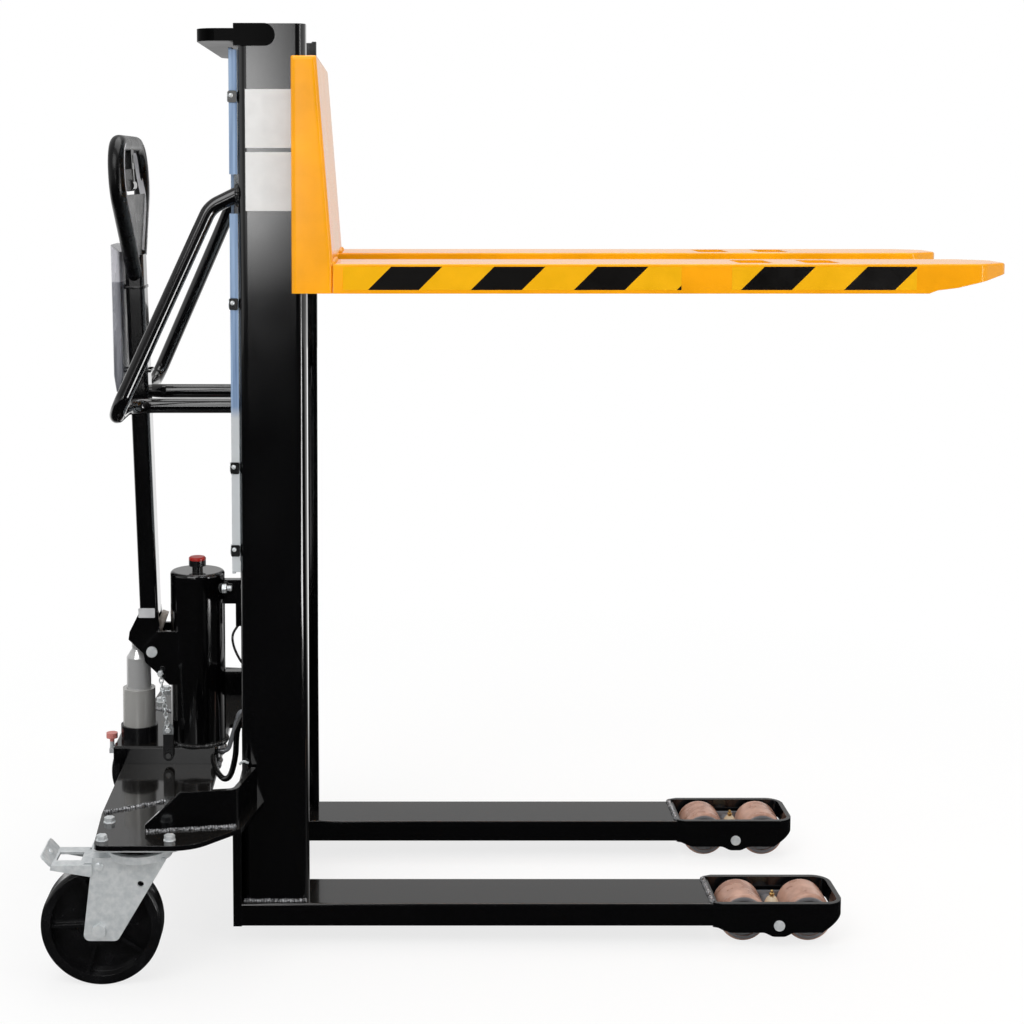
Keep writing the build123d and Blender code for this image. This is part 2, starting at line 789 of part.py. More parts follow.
# Lift chains: a strand up from each lug to the pulley, and one over the pulley down to the carriage
with BuildPart() as chain_fixed_strands:
    for side in (-1, 1):
        block(
            (back_strand_x - chain_thickness / 2, back_strand_x + chain_thickness / 2),
            (side * pulley_y - chain_width / 2, side * pulley_y + chain_width / 2),
            (anchor_top, pulley_z),
        )
keep(chain_fixed_strands, "chain_fixed_strands")

with BuildPart() as chain_lift_strands:
    for side in (-1, 1):
        with BuildSketch(Plane.XZ.offset(chain_width / 2 - side * pulley_y)):
            with Locations((lift_x, pulley_z)):
                Circle(pulley_pitch_radius + chain_thickness / 2)
                Circle(pulley_pitch_radius - chain_thickness / 2, mode=Mode.SUBTRACT)
            with Locations((lift_x, pulley_z - pulley_pitch_radius)):
                Rectangle(4 * pulley_pitch_radius, 2 * pulley_pitch_radius, mode=Mode.SUBTRACT)
            with Locations((front_strand_x, (tie_bar_top + pulley_z) / 2)):
                Rectangle(chain_thickness, pulley_z - tie_bar_top)
        extrude(amount=-chain_width)
keep(chain_lift_strands, "chain_lift_strands")

# Guard: a clear panel with its long edges turned in to the posts' back flanges, on shouldered bolts
guard_x = mast_back_x - guard_standoff - guard_wall
with BuildPart() as guard_panel:
    with BuildSketch(Plane.YZ.offset(guard_x)):
        with Locations((0, (guard_bottom_z + guard_top_z) / 2)):
            RectangleRounded(2 * guard_half, guard_top_z - guard_bottom_z, 6)
        for side in (-1, 1):
            with Locations(*[(side * guard_bolt_y, z) for z in guard_bolt_heights]):
                Circle(guard_bolt_diameter / 2 + side_fit, mode=Mode.SUBTRACT)
            with Locations((side * push_low_y, push_low_z)):
                Circle(push_tube / 2 + 4, mode=Mode.SUBTRACT)
            with Locations((side * guard_half, push_top_z + push_top_rise)):
                notch = 2 * (guard_half - guard_bolt_y + push_tube / 2 + 6)
                Rectangle(notch, push_tube + 16 + push_top_rise, mode=Mode.SUBTRACT)
    extrude(amount=guard_wall)
    with BuildSketch(Plane.YZ.offset(guard_x + guard_wall)):
        for side in (-1, 1):
            with Locations((side * (guard_half - guard_return / 2), (guard_bottom_z + guard_top_z) / 2)):
                Rectangle(guard_return, guard_top_z - guard_bottom_z - 2 * guard_return)
            with Locations((side * guard_half, push_top_z + push_top_rise)):
                Rectangle(notch, push_tube + 16 + push_top_rise, mode=Mode.SUBTRACT)
    extrude(amount=guard_standoff)
keep(guard_panel, "guard_panel")

with BuildPart() as guard_bolts:
    for y in (-guard_bolt_y, guard_bolt_y):
        for z in guard_bolt_heights:
            rod((mast_back_x - guard_standoff, y, z), (mast_back_x, y, z), 2 * guard_bolt_diameter)
            rod((guard_x - guard_bolt_head, y, z), (mast_back_x, y, z), guard_bolt_diameter)
            rod((guard_x - guard_bolt_head, y, z), (guard_x, y, z), 2 * guard_bolt_diameter)
keep(guard_bolts, "guard_bolts")

# Push handles: one bent tube on each side, from the post down, back and in to the cross bar
with BuildPart() as push_handle_right:
    with BuildLine() as push_line:
        FilletPolyline(
            (mast_back_x + push_top_reach, -guard_bolt_y, push_top_z + 2 * push_top_rise),
            (mast_back_x - push_top_reach, -guard_bolt_y, push_top_z),
            (mast_back_x - push_back_reach, -push_outer_y, push_low_z),
            (mast_back_x - push_back_reach, -push_low_y, push_low_z),
            (mast_back_x, -push_low_y, push_low_z),
            radius=push_bends,
        )
    with BuildSketch(Plane(origin=push_line.line @ 0, z_dir=push_line.line % 0)):
        Circle(push_tube / 2)
        Circle(push_tube / 2 - push_tube_wall, mode=Mode.SUBTRACT)
    sweep(path=push_line.line)
    block((mast_back_x, mast_front_x), (-mast_half, mast_half), (0, mast_height), mode=Mode.SUBTRACT)
keep(push_handle_right, "push_handle_right")

with BuildPart() as push_handle_left:
    mirror(push_handle_right.part, about=Plane.XZ)
keep(push_handle_left, "push_handle_left")

# Base plate with a notch towards the mast, a wing on each side for the caster, and a bent rib on each wing
with BuildPart() as base_plate:
    with BuildSketch(Plane.XY.offset(base_bottom)):
        Polygon(
            (base_back_x, -seam_back_y),
            (seam_front_x, -mast_half),
            (mast_back_x, -mast_half),
            (mast_back_x, -base_notch_y),
            (base_front_x, -base_notch_y),
            (base_front_x, base_notch_y),
            (mast_back_x, base_notch_y),
            (mast_back_x, mast_half),
            (seam_front_x, mast_half),
            (base_back_x, seam_back_y),
            align=None,
        )
    extrude(amount=base_wall)
keep(base_plate, "base_plate")

with BuildPart() as caster_wing_right:
    with BuildSketch(Plane.XY.offset(base_bottom)) as wing_plan:
        Polygon(
            (base_back_x, -seam_back_y),
            (base_back_x + 9, -wing_outer_y),
            (wing_bend_x, -wing_outer_y),
            (wing_tip[0], -wing_tip[1]),
            (wing_post_x, -mast_half),
            (seam_front_x, -mast_half),
            align=None,
        )
        outer_corners = wing_plan.vertices().sort_by(Axis.Y)
        fillet(outer_corners[:2].sort_by(Axis.X)[0], 14)
        fillet(wing_plan.vertices().filter_by(lambda v: abs(v.X - wing_bend_x) < 0.01), wing_bend_radius)
        fillet(wing_plan.vertices().filter_by(lambda v: abs(v.X - wing_tip[0]) < 0.01), 30)
    extrude(amount=base_wall)
    with Locations((caster_x, -caster_y, base_top_z)):
        with GridLocations(*caster_bolt_pattern, 2, 2):
            Hole(bolt_head / 4 + side_fit, base_wall)
keep(caster_wing_right, "caster_wing_right")

with BuildPart() as caster_wing_left:
    mirror(caster_wing_right.part, about=Plane.XZ)
keep(caster_wing_left, "caster_wing_left")

with BuildPart() as wing_ribs:
    for side in (-1, 1):
        with BuildLine(Plane.XY.offset(base_top_z)) as rib_line:
            FilletPolyline(
                (rib_back[0], side * rib_back[1]),
                (rib_bend[0], side * rib_bend[1]),
                (wing_post_x - 2 * rib_wall, side * (mast_half + rib_wall)),
                radius=15,
            )
        with BuildSketch(Plane.XY.offset(base_top_z)):
            trace(rib_line.line, line_width=rib_wall)
        extrude(amount=rib_height)
    slope_plane = Plane.XZ.offset(-wing_outer_y)
    with BuildSketch(slope_plane):
        Polygon(
            (rib_back[0] - rib_wall, base_top_z + 3),
            (rib_back[0] + rib_slope_run, base_top_z + rib_height),
            (rib_back[0] - rib_wall, base_top_z + rib_height),
            align=None,
        )
    extrude(amount=2 * wing_outer_y, mode=Mode.SUBTRACT)
keep(wing_ribs, "wing_ribs")


def caster_top_plate(y):
    """Fixed half of a caster: the bolted plate, the bearing race below it and the king pin."""
    with BuildPart() as plate:
        with BuildSketch(Plane.XY.offset(caster_plate_bottom)):
            with Locations((caster_x, y)):
                RectangleRounded(*caster_plate_size, 12)
                with GridLocations(*caster_bolt_pattern, 2, 2):
                    Circle(bolt_head / 4 + side_fit, mode=Mode.SUBTRACT)
        extrude(amount=caster_plate_wall)
        rod((caster_x, y, race_bottom), (caster_x, y, caster_plate_bottom), caster_race_diameter)
        rod((caster_x, y, crown_bottom - 8), (caster_x, y, race_bottom), king_pin)
        rod((caster_x, y, crown_bottom - 8), (caster_x, y, crown_bottom - side_fit), king_pin + 10)
    return plate


with BuildPart() as caster_top_plates:
    for y in (-caster_y, caster_y):
        add(caster_top_plate(y).part)
keep(caster_top_plates, "caster_top_plates")

with BuildPart() as caster_bolts:
    for y in (-caster_y, caster_y):
        with Locations((caster_x, y, caster_plate_bottom)):
            with GridLocations(*caster_bolt_pattern, 2, 2):
                Cylinder(bolt_head / 4, base_wall + caster_plate_wall, align=(Align.CENTER, Align.CENTER, Align.MIN))
        with BuildSketch(Plane.XY.offset(base_top_z)):
            with Locations((caster_x, y)):
                with GridLocations(*caster_bolt_pattern, 2, 2):
                    RegularPolygon(bolt_head / 2, 6)
        extrude(amount=bolt_head / 2)
keep(caster_bolts, "caster_bolts")


def caster_yoke(y):
    """Turning half of a caster: the crown, two tapering cheeks and the wheel axle with its bolt heads."""
    with BuildPart() as yoke:
        rod((caster_x, y, crown_bottom), (caster_x, y, crown_top), yoke_crown_diameter)
        block(
            (wheel_x - 10, caster_x),
            (y - yoke_outer, y + yoke_outer),
            (crown_bottom, crown_bottom + yoke_wall),
        )
        with BuildSketch(Plane.XZ.offset(yoke_outer - y)) as cheek:
            Polygon(
                (wheel_x - yoke_foot[0], wheel_radius - yoke_foot_drop),
                (wheel_x + yoke_foot[1], wheel_radius - yoke_foot_drop),
                (caster_x + yoke_outer + 10, crown_bottom),
                (caster_x + yoke_outer + 10, crown_bottom + yoke_wall),
                (wheel_x - 10, crown_bottom + yoke_wall),
                align=None,
            )
            fillet(cheek.vertices().sort_by(Axis.Y)[:2], yoke_foot_round)
        extrude(amount=-2 * yoke_outer)
        block(
            (wheel_x - wheel_diameter, caster_x + wheel_diameter),
            (y - yoke_inner, y + yoke_inner),
            (0, crown_bottom),
            mode=Mode.SUBTRACT,
        )
        hole_x = caster_x + yoke_hole[0]
        hole_z = crown_bottom - yoke_hole[1]
        rod(
            (hole_x, y - 2 * yoke_outer, hole_z),
            (hole_x, y + 2 * yoke_outer, hole_z),
            yoke_hole_diameter,
            mode=Mode.SUBTRACT,
        )
        rod((wheel_x, y - yoke_outer, wheel_radius), (wheel_x, y + yoke_outer, wheel_radius), wheel_axle)
        for side in (-1, 1):
            with BuildSketch(Plane(origin=(wheel_x, y + side * yoke_outer, wheel_radius), z_dir=(0, side, 0))):
                RegularPolygon(bolt_head / 2 + 3, 6)
            extrude(amount=8)
        rod((caster_x, y, 0), (caster_x, y, race_bottom), king_pin + running_fit, mode=Mode.SUBTRACT)
    return yoke


def caster_wheel(y):
    """Wheel with a rounded rim, a thin web stiffened by spokes on both sides and a plain bored hub."""
    hub_radius = wheel_hub_diameter / 2
    rim_inner = wheel_radius - wheel_rim
    with BuildPart() as wheel:
        wheel_plane = Plane(origin=(wheel_x, y, wheel_radius), x_dir=(1, 0, 0), z_dir=(0, -1, 0))
        with Locations(wheel_plane):
            Cylinder(wheel_radius, wheel_width)
        fillet(wheel.edges().filter_by(GeomType.CIRCLE), 7)
        for side in (-1, 1):
            with Locations(wheel_plane.offset(side * (wheel_web / 2 + wheel_width / 4))):
                Cylinder(rim_inner, wheel_width / 2, mode=Mode.SUBTRACT)
        rib_span = rim_inner - hub_radius + 4
        with Locations(wheel_plane):
            with PolarLocations((rim_inner + hub_radius) / 2, wheel_rib_count, start_angle=wheel_rib_turn):
                Box(rib_span, wheel_rib_wall, wheel_web + 2 * wheel_rib_depth)
            Cylinder(hub_radius, wheel_hub_width)
            Cylinder((wheel_axle + running_fit) / 2, wheel_hub_width, mode=Mode.SUBTRACT)
    return wheel


for side, side_name in ((-1, "right"), (1, "left")):
    keep(caster_yoke(side * caster_y), f"caster_yoke_{side_name}")
    keep(caster_wheel(side * caster_y), f"caster_wheel_{side_name}")

# Brake pedal of the right caster: a pressed channel with a turned-up lip, on a pin between the yoke's cheeks
pedal_x = wheel_x + pedal_pivot[0]
pedal_z = wheel_radius + pedal_pivot[1]
with BuildPart() as brake_pedal:
    pedal_back = wheel_x - pedal_length
    tread_front = wheel_x - pedal_tread_front
    with BuildSketch(Plane.XZ.offset(caster_y + pedal_tread_width / 2)):
        Polygon(
            (tread_front, pedal_z + pedal_wall),
            (pedal_back, pedal_z + pedal_wall),
            (pedal_back - pedal_lip_run, pedal_z + pedal_wall + pedal_lip_rise),
            (pedal_back - pedal_lip_run - pedal_wall, pedal_z + pedal_lip_rise),
            (pedal_back - pedal_wall, pedal_z - 1),
            (tread_front, pedal_z - pedal_tread_skirt),
            align=None,
        )
    extrude(amount=-pedal_tread_width)
    with BuildSketch(Plane.XZ.offset(caster_y + pedal_width / 2)):
        Polygon(
            (pedal_x + pedal_pin, pedal_z + pedal_wall),
            (tread_front - pedal_wall, pedal_z + pedal_wall),
            (tread_front - pedal_wall, pedal_z - pedal_skirt),
            (tread_front, pedal_z - pedal_skirt),
            (pedal_x - 2 * pedal_pin, pedal_z - pedal_wall),
            (pedal_x + pedal_pin, pedal_z - pedal_wall),
            align=None,
        )
    extrude(amount=-pedal_width)
    for wide, front in ((pedal_tread_width, tread_front - pedal_wall), (pedal_width, pedal_x - pedal_pin)):
        half = wide / 2 - pedal_wall
        block(
            (pedal_back, front),
            (-caster_y - half, -caster_y + half),
            (pedal_z - 2 * pedal_skirt, pedal_z),
            mode=Mode.SUBTRACT,
        )
    with BuildSketch(Plane.XY.offset(pedal_z)):
        with Locations((pedal_back + pedal_slot_gap + pedal_slot[0] / 2, -caster_y)):
            RectangleRounded(*pedal_slot, 3)
    extrude(amount=pedal_wall, mode=Mode.SUBTRACT)
    lip_middle = Vector(pedal_back - (pedal_lip_run + pedal_wall) / 2, -caster_y, pedal_z + (pedal_lip_rise + pedal_wall) / 2)
    lip_normal = Vector(pedal_lip_rise, 0, pedal_lip_run).normalized() * 2 * pedal_wall
    rod(lip_middle - lip_normal, lip_middle + lip_normal, pedal_lip_hole, mode=Mode.SUBTRACT)
    rod(
        (pedal_x, -caster_y - yoke_inner + side_fit, pedal_z),
        (pedal_x, -caster_y + yoke_inner - side_fit, pedal_z),
        pedal_pin,
    )
keep(brake_pedal, "brake_pedal")

# Pump unit on the base plate: block, tank with its filler cap, pump cylinder and its rising piston cover
with BuildPart() as pump_block:
    with BuildSketch(Plane.XY.offset(base_top_z)):
        with Locations(((block_back_x + block_front_x) / 2, 0)):
            RectangleRounded(block_front_x - block_back_x, block_width, 6)
    extrude(amount=block_height)
    chamfer(pump_block.faces().sort_by(Axis.Z)[-1].edges(), 3)
    pin_end = -block_width / 2 - release_wall - 2
    rod((release_x, 0, release_z), (release_x, pin_end, release_z), release_pin)
keep(pump_block, "pump_block")

with BuildPart() as oil_tank:
    rod((tank_x, 0, block_top), (tank_x, 0, tank_top), tank_diameter)
    fillet(oil_tank.edges().group_by(Axis.Z)[-1], tank_rim)
    rod((tank_x, 0, tank_top), (tank_x, 0, tank_top + neck_height), neck_diameter)
keep(oil_tank, "oil_tank")

with BuildPart() as filler_cap:
    cap_foot = tank_top + neck_height
    rod((tank_x, 0, cap_foot), (tank_x, 0, cap_foot + cap_height), cap_diameter)
    chamfer(filler_cap.edges().group_by(Axis.Z)[-1], 2)
keep(filler_cap, "filler_cap")

with BuildPart() as pump_cylinder:
    rod((pump_x, 0, block_top), (pump_x, 0, collar_top), collar_diameter)
    rod((pump_x, 0, collar_top), (pump_x, 0, sleeve_top), sleeve_diameter)
    bore_depth = piston_engaged + pump_stroke + piston_clearance + 3
    rod((pump_x, 0, sleeve_top - bore_depth), (pump_x, 0, sleeve_top), piston_bore, mode=Mode.SUBTRACT)
keep(pump_cylinder, "pump_cylinder")

with BuildPart() as pump_piston:
    cover_top = piston_top - piston_button - piston_cone
    rod((pump_x, 0, sleeve_top - piston_engaged), (pump_x, 0, cover_top), piston_diameter)
    with Locations((pump_x, 0, cover_top + piston_cone / 2)):
        Cone(piston_diameter / 2, piston_neck / 2, piston_cone)
    rod((pump_x, 0, piston_top - piston_button), (pump_x, 0, piston_top), piston_neck)
keep(pump_piston, "pump_piston")

# Stays from the tank to the two lower cross bars
with BuildPart() as pump_stays:
    for low, high in cross_bar_spans[:2]:
        block((tank_x, mast_back_x), (-stay_width / 2, stay_width / 2), (low + 4, high - 4))
    rod((tank_x, 0, block_top), (tank_x, 0, tank_top), tank_diameter, mode=Mode.SUBTRACT)
keep(pump_stays, "pump_stays")

with BuildPart() as pressure_pipe:
    pipe_z = base_top_z + block_height / 2
    port_x = lift_x - (cylinder_diameter ** 2 / 4 - pipe_y ** 2) ** 0.5
    with BuildLine() as pipe_line:
        FilletPolyline(
            (block_front_x, -pipe_y, pipe_z),
            (block_front_x + pipe_run[0], -pipe_y, pipe_z),
            (block_front_x + pipe_run[1], -pipe_y, pipe_z + pipe_rise),
            (lift_x, -pipe_y, pipe_z + pipe_rise),
            radius=pipe_bend,
        )
    with BuildSketch(Plane(origin=pipe_line.line @ 0, z_dir=pipe_line.line % 0)):
        Circle(pipe_diameter / 2)
    sweep(path=pipe_line.line)
    rod((lift_x, 0, foot_bar_top), (lift_x, 0, cylinder_top), cylinder_diameter, mode=Mode.SUBTRACT)
keep(pressure_pipe, "pressure_pipe")

with BuildPart() as block_valve:
    valve_x = block_back_x - valve_stem
    valve_z = base_top_z + block_height / 2
    block((valve_x - valve_stem / 2, block_back_x), (-valve_stem, valve_stem), (valve_z - valve_stem, valve_z))
    rod((valve_x, 0, valve_z), (valve_x, 0, valve_z + 18), valve_stem)
    rod((valve_x, 0, valve_z + 18), (valve_x, 0, valve_z + 27), valve_cap)
keep(block_valve, "block_valve")

# Ears welded to the tank, with the pin on which the pump handle swings
with BuildPart() as handle_bracket:
    for near_y in (-ear_outer, ear_inner):
        with BuildSketch(Plane.XZ.offset(-near_y)) as ear:
            Polygon(
                (pivot_x - 17, pivot_z + 7),
                (pivot_x + 10, pivot_z + ear_rise),
                (tank_x, pivot_z + ear_rise),
                (tank_x, pivot_z - ear_drop),
                (pivot_x + 30, pivot_z - ear_drop),
                (pivot_x - 12, pivot_z - 18),
                align=None,
            )
            fillet(ear.vertices().sort_by(Axis.X)[:2], 8)
            with Locations((pivot_x, pivot_z)):
                Circle(pivot_pin / 2, mode=Mode.SUBTRACT)
        extrude(amount=-ear_wall)
    rod((tank_x, 0, block_top), (tank_x, 0, tank_top), tank_diameter, mode=Mode.SUBTRACT)
keep(handle_bracket, "handle_bracket")

with BuildPart() as handle_pivot_pin:
    rod((pivot_x, -ear_outer - 3, pivot_z), (pivot_x, ear_outer + 3, pivot_z), pivot_pin)
keep(handle_pivot_pin, "handle_pivot_pin")

# Grip: a bent tube whose legs end on the sides of the shaft, a web between the legs, and a slotted
# housing for the control lever under the top of the loop
with BuildPart() as grip_loop:
    half_width = (grip_width - grip_tube) / 2
    with BuildLine(grip_plane) as grip_line:
        FilletPolyline(
            (grip_foot_width / 2, 0),
            (half_width, grip_shoulder),
            (half_width, grip_height),
            (-half_width, grip_height),
            (-half_width, grip_shoulder),
            (-grip_foot_width / 2, 0),
            radius=grip_bends,
            close=True,
        )
    with BuildSketch(Plane(origin=grip_line.line @ 0, z_dir=grip_line.line % 0)):
        Circle(grip_tube / 2)
    sweep(path=grip_line.line)
    web_half = half_width * grip_web_height / grip_shoulder
    with BuildSketch(grip_plane.offset(-grip_web / 2)):
        Polygon(
            (grip_foot_width / 2, 0),
            (web_half, grip_web_height),
            (-web_half, grip_web_height),
            (-grip_foot_width / 2, 0),
            align=None,
        )
        with Locations((0, (lever_housing - lever_pin + grip_height) / 2)):
            Rectangle(2 * (lever_wall + lever_pin), grip_height - lever_housing + lever_pin)
    extrude(amount=grip_web)
    with BuildSketch(Plane(origin=shaft_foot, x_dir=shaft_forward, z_dir=shaft_up)):
        RectangleRounded(shaft_depth, 2 * cheek_outer, 7)
    extrude(amount=shaft_length, mode=Mode.SUBTRACT)
    with BuildSketch(Plane(origin=lever_pivot, x_dir=grip_forward, z_dir=grip_up)):
        Rectangle(2 * lever_width, lever_wall + 2 * side_fit)
    extrude(amount=lever_width, both=True, mode=Mode.SUBTRACT)
    rod(lever_pivot - Vector(0, lever_wall, 0), lever_pivot + Vector(0, lever_wall, 0), lever_pin)
keep(grip_loop, "grip_loop")

with BuildPart() as control_lever:
    lever_plane = Plane(origin=lever_pivot, x_dir=-grip_up, z_dir=(0, -1, 0))
    with BuildSketch(lever_plane.offset(-lever_wall / 2)):
        with Locations((lever_length / 2, 0)):
            SlotCenterToCenter(lever_length, lever_width)
        Circle((lever_pin + running_fit) / 2, mode=Mode.SUBTRACT)
    extrude(amount=lever_wall)
    pad = lever_pivot - grip_up * lever_length
    rod(pad - Vector(0, lever_pad, 0), pad + Vector(0, lever_pad, 0), lever_pad)
keep(control_lever, "control_lever")

# Pump handle: two cheeks on the pin, and a leaning shaft between the legs of the grip
with BuildPart() as pump_handle:
    for near_y in (-cheek_outer, cheek_inner):
        with BuildSketch(Plane.XZ.offset(-near_y)):
            shaft_low = shaft_foot + shaft_up * 8
            half_depth = shaft_forward * (shaft_depth / 2)
            Polygon(
                (pivot_x - 16, pivot_z - 6),
                (press_roller_x - press_roller_radius - 1, press_roller_z - 4),
                (press_roller_x - press_roller_radius + 1, press_roller_z + 10),
                ((shaft_low - half_depth).X, (shaft_low - half_depth).Z),
                ((shaft_low + half_depth).X, (shaft_low + half_depth).Z),
                (pivot_x + 16, pivot_z + 6),
                align=None,
            )
            with Locations((pivot_x, pivot_z)):
                Circle(17)
                Circle((pivot_pin + running_fit) / 2, mode=Mode.SUBTRACT)
        extrude(amount=-cheek_wall)
    with BuildSketch(Plane(origin=shaft_foot, x_dir=shaft_forward, z_dir=shaft_up)):
        RectangleRounded(shaft_depth, 2 * cheek_outer, 7)
    extrude(amount=shaft_length)
    rod(
        (press_roller_x, -cheek_outer, press_roller_z),
        (press_roller_x, cheek_outer, press_roller_z),
        press_roller_axle,
    )
keep(pump_handle, "pump_handle")

with BuildPart() as press_roller:
    with Locations(Plane(origin=(press_roller_x, 0, press_roller_z), z_dir=(0, -1, 0))):
        Cylinder(press_roller_radius, press_roller_width)
        Cylinder((press_roller_axle + running_fit) / 2, press_roller_width, mode=Mode.SUBTRACT)
keep(press_roller, "press_roller")

# Release lever: a flat bar on a pin at the side of the pump block
with BuildPart() as release_lever:
    with BuildSketch(Plane.XZ.offset(block_width / 2 + side_fit)):
        with Locations((release_x, release_z + release_length / 2)):
            SlotCenterToCenter(release_length, release_width, rotation=90)
        with Locations((release_x, release_z)):
            Circle((release_pin + running_fit) / 2, mode=Mode.SUBTRACT)
    extrude(amount=release_wall)
keep(release_lever, "release_lever")
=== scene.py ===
"""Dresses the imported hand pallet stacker: its paints and metals, hazard tape, chains, welds and small fittings.

Lengths in the classes below are millimetres in the part's own frame: +X along the forks, +Y to the left, +Z up.
"""

import json
import logging
from dataclasses import dataclass, field
from enum import Enum
from math import pi, radians
from typing import Any

import bpy
import numpy as np
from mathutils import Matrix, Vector
from numpy.typing import NDArray


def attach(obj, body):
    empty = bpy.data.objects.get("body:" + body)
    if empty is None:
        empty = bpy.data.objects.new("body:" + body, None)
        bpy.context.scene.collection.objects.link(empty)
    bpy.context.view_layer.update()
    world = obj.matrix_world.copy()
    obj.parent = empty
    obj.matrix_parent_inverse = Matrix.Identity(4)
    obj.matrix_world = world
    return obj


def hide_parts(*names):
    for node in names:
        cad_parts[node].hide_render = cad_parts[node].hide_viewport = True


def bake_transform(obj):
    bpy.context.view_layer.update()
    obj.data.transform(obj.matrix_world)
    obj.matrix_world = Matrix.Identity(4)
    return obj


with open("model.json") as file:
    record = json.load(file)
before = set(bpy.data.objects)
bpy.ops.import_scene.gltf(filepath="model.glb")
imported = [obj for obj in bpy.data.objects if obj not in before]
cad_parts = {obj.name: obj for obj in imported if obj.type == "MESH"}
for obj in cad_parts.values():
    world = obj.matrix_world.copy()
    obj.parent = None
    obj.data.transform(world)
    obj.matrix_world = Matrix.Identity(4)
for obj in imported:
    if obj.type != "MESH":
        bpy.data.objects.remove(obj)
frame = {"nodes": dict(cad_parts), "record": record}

LOG = logging.getLogger("stacker")
MM = 0.001
RESIN_IOR = 1.5
X_AXIS, Y_AXIS, Z_AXIS = (1.0, 0.0, 0.0), (0.0, 1.0, 0.0), (0.0, 0.0, 1.0)
WHITE = (1.0, 1.0, 1.0, 1.0)
SIDES = ((-1.0, "right"), (1.0, "left"))
Array = NDArray[np.float64]
Faces = NDArray[np.int64]
Pair = tuple[float, float]
Triple = tuple[float, float, float]
Ramp = tuple[float, float, float, float]
Point = Triple
Path = tuple[Point, ...]
Run = tuple[Point, Point]
Outline = tuple[Pair, ...]
Material = bpy.types.Material
Sockets = dict[Any, Any]


def srgb(code: str) -> tuple[float, float, float, float]:
    """Turns an sRGB hex colour, such as "#F9A51A", into linear red, green and blue, with 1 for alpha."""
    parts = np.array([int(code[i:i + 2], 16) for i in (1, 3, 5)]) / 255.0
    linear = np.where(parts <= 0.04045, parts / 12.92, ((parts + 0.055) / 1.055) ** 2.4)
    return (*linear.tolist(), 1.0)


@dataclass
class Graph:
    """A node tree, with short ways to add what the finishes are made of. Each gives an output socket."""

    tree: bpy.types.NodeTree

    def add(self, kind: str, inputs: Sockets | None = None, **settings: Any) -> Any:
        """Adds a node, sets it and links what feeds it.

        Args:
            kind: Blender's node type, such as "ShaderNodeMath".
            inputs: socket name or number to a value, or to an output socket that is linked to it.
            settings: attributes of the node, such as operation="MULTIPLY".

        Returns:
            The new node's outputs.
        """
        made = self.tree.nodes.new(kind)
        for key, value in settings.items():
            setattr(made, key, value)
        for key, value in (inputs or {}).items():
            if isinstance(value, bpy.types.NodeSocket):
                self.tree.links.new(value, made.inputs[key])
            else:
                made.inputs[key].default_value = value
        return made.outputs

    def math(self, operation: str, *values: Any, **settings: Any) -> Any:
        """One step of arithmetic on numbers or sockets."""
        return self.add("ShaderNodeMath", dict(enumerate(values)), operation=operation, **settings)[0]

    def ramp(self, value: Any, low: float, high: float, start: float = 0.0, end: float = 1.0) -> Any:
        """Maps a value from the range low to high onto start to end, clamped."""
        return self.add("ShaderNodeMapRange", {"Value": value, 1: low, 2: high, 3: start, 4: end})["Result"]

    def spread(self, noise: Any, start: float, end: float) -> Any:
        """Maps the range that a noise mostly fills, 0.3 to 0.7, onto start to end."""
        return self.ramp(noise, 0.3, 0.7, start, end)

    def mottle(self, noise: Any) -> Any:
        """Turns a noise into patches: its middle, 0.35 to 0.65, onto 0 to 1."""
        return self.ramp(noise, 0.35, 0.65)

    def mix(self, factor: Any, *colours: Any) -> Any:
        """Mixes two colours, sockets or hex codes: a factor of 0 gives the first, 1 the second."""
        first, second = (srgb(colour) if isinstance(colour, str) else colour for colour in colours)
        return self.add("ShaderNodeMix", {0: factor, 6: first, 7: second}, data_type="RGBA")[2]

    def shade(self, colour: str, value: Any) -> Any:
        """Makes a hex colour lighter or darker by a factor."""
        return self.add("ShaderNodeHueSaturation", {"Color": srgb(colour), "Value": value})["Color"]

    def where(self) -> Any:
        """The shaded point in the part's frame, in metres."""
        return self.add("ShaderNodeTexCoord")["Object"]

    def noise(self, where: Any, step: float, detail: float) -> Any:
        """Noise from 0 to 1 whose pattern steps are the given number of millimetres."""
        return self.add("ShaderNodeTexNoise", {"Vector": where, "Scale": 1.0 / (step * MM), "Detail": detail})["Fac"]

    def stretch(self, where: Any, scale: Triple) -> Any:
        """Scales a point along each axis, so that a pattern is drawn out where the scale is small."""
        return self.add("ShaderNodeMapping", {"Vector": where, "Scale": scale})[0]

    def parts(self, vector: Any) -> Any:
        """The sockets X, Y and Z of a vector."""
        return self.add("ShaderNodeSeparateXYZ", {0: vector})

    def facing(self) -> Any:
        """The direction that the face looks in."""
        return self.add("ShaderNodeNewGeometry")["True Normal"]

    def soft(self, radius: float) -> Any:
        """A normal that rounds the edges off by a radius in millimetres."""
        return self.add("ShaderNodeBevel", {"Radius": radius * MM}, samples=4)[0]

    def bump(self, height: Any, strength: float, depth: float, **normal: Any) -> Any:
        """Relief of the given depth in millimetres, on the normal given as Normal if there is one."""
        return self.add("ShaderNodeBump", {"Height": height, "Strength": strength, "Distance": depth * MM, **normal})[0]

    def glow(self, strength: Any) -> Any:
        """A white light of the given strength."""
        return self.add("ShaderNodeEmission", {"Color": WHITE, "Strength": strength})[0]


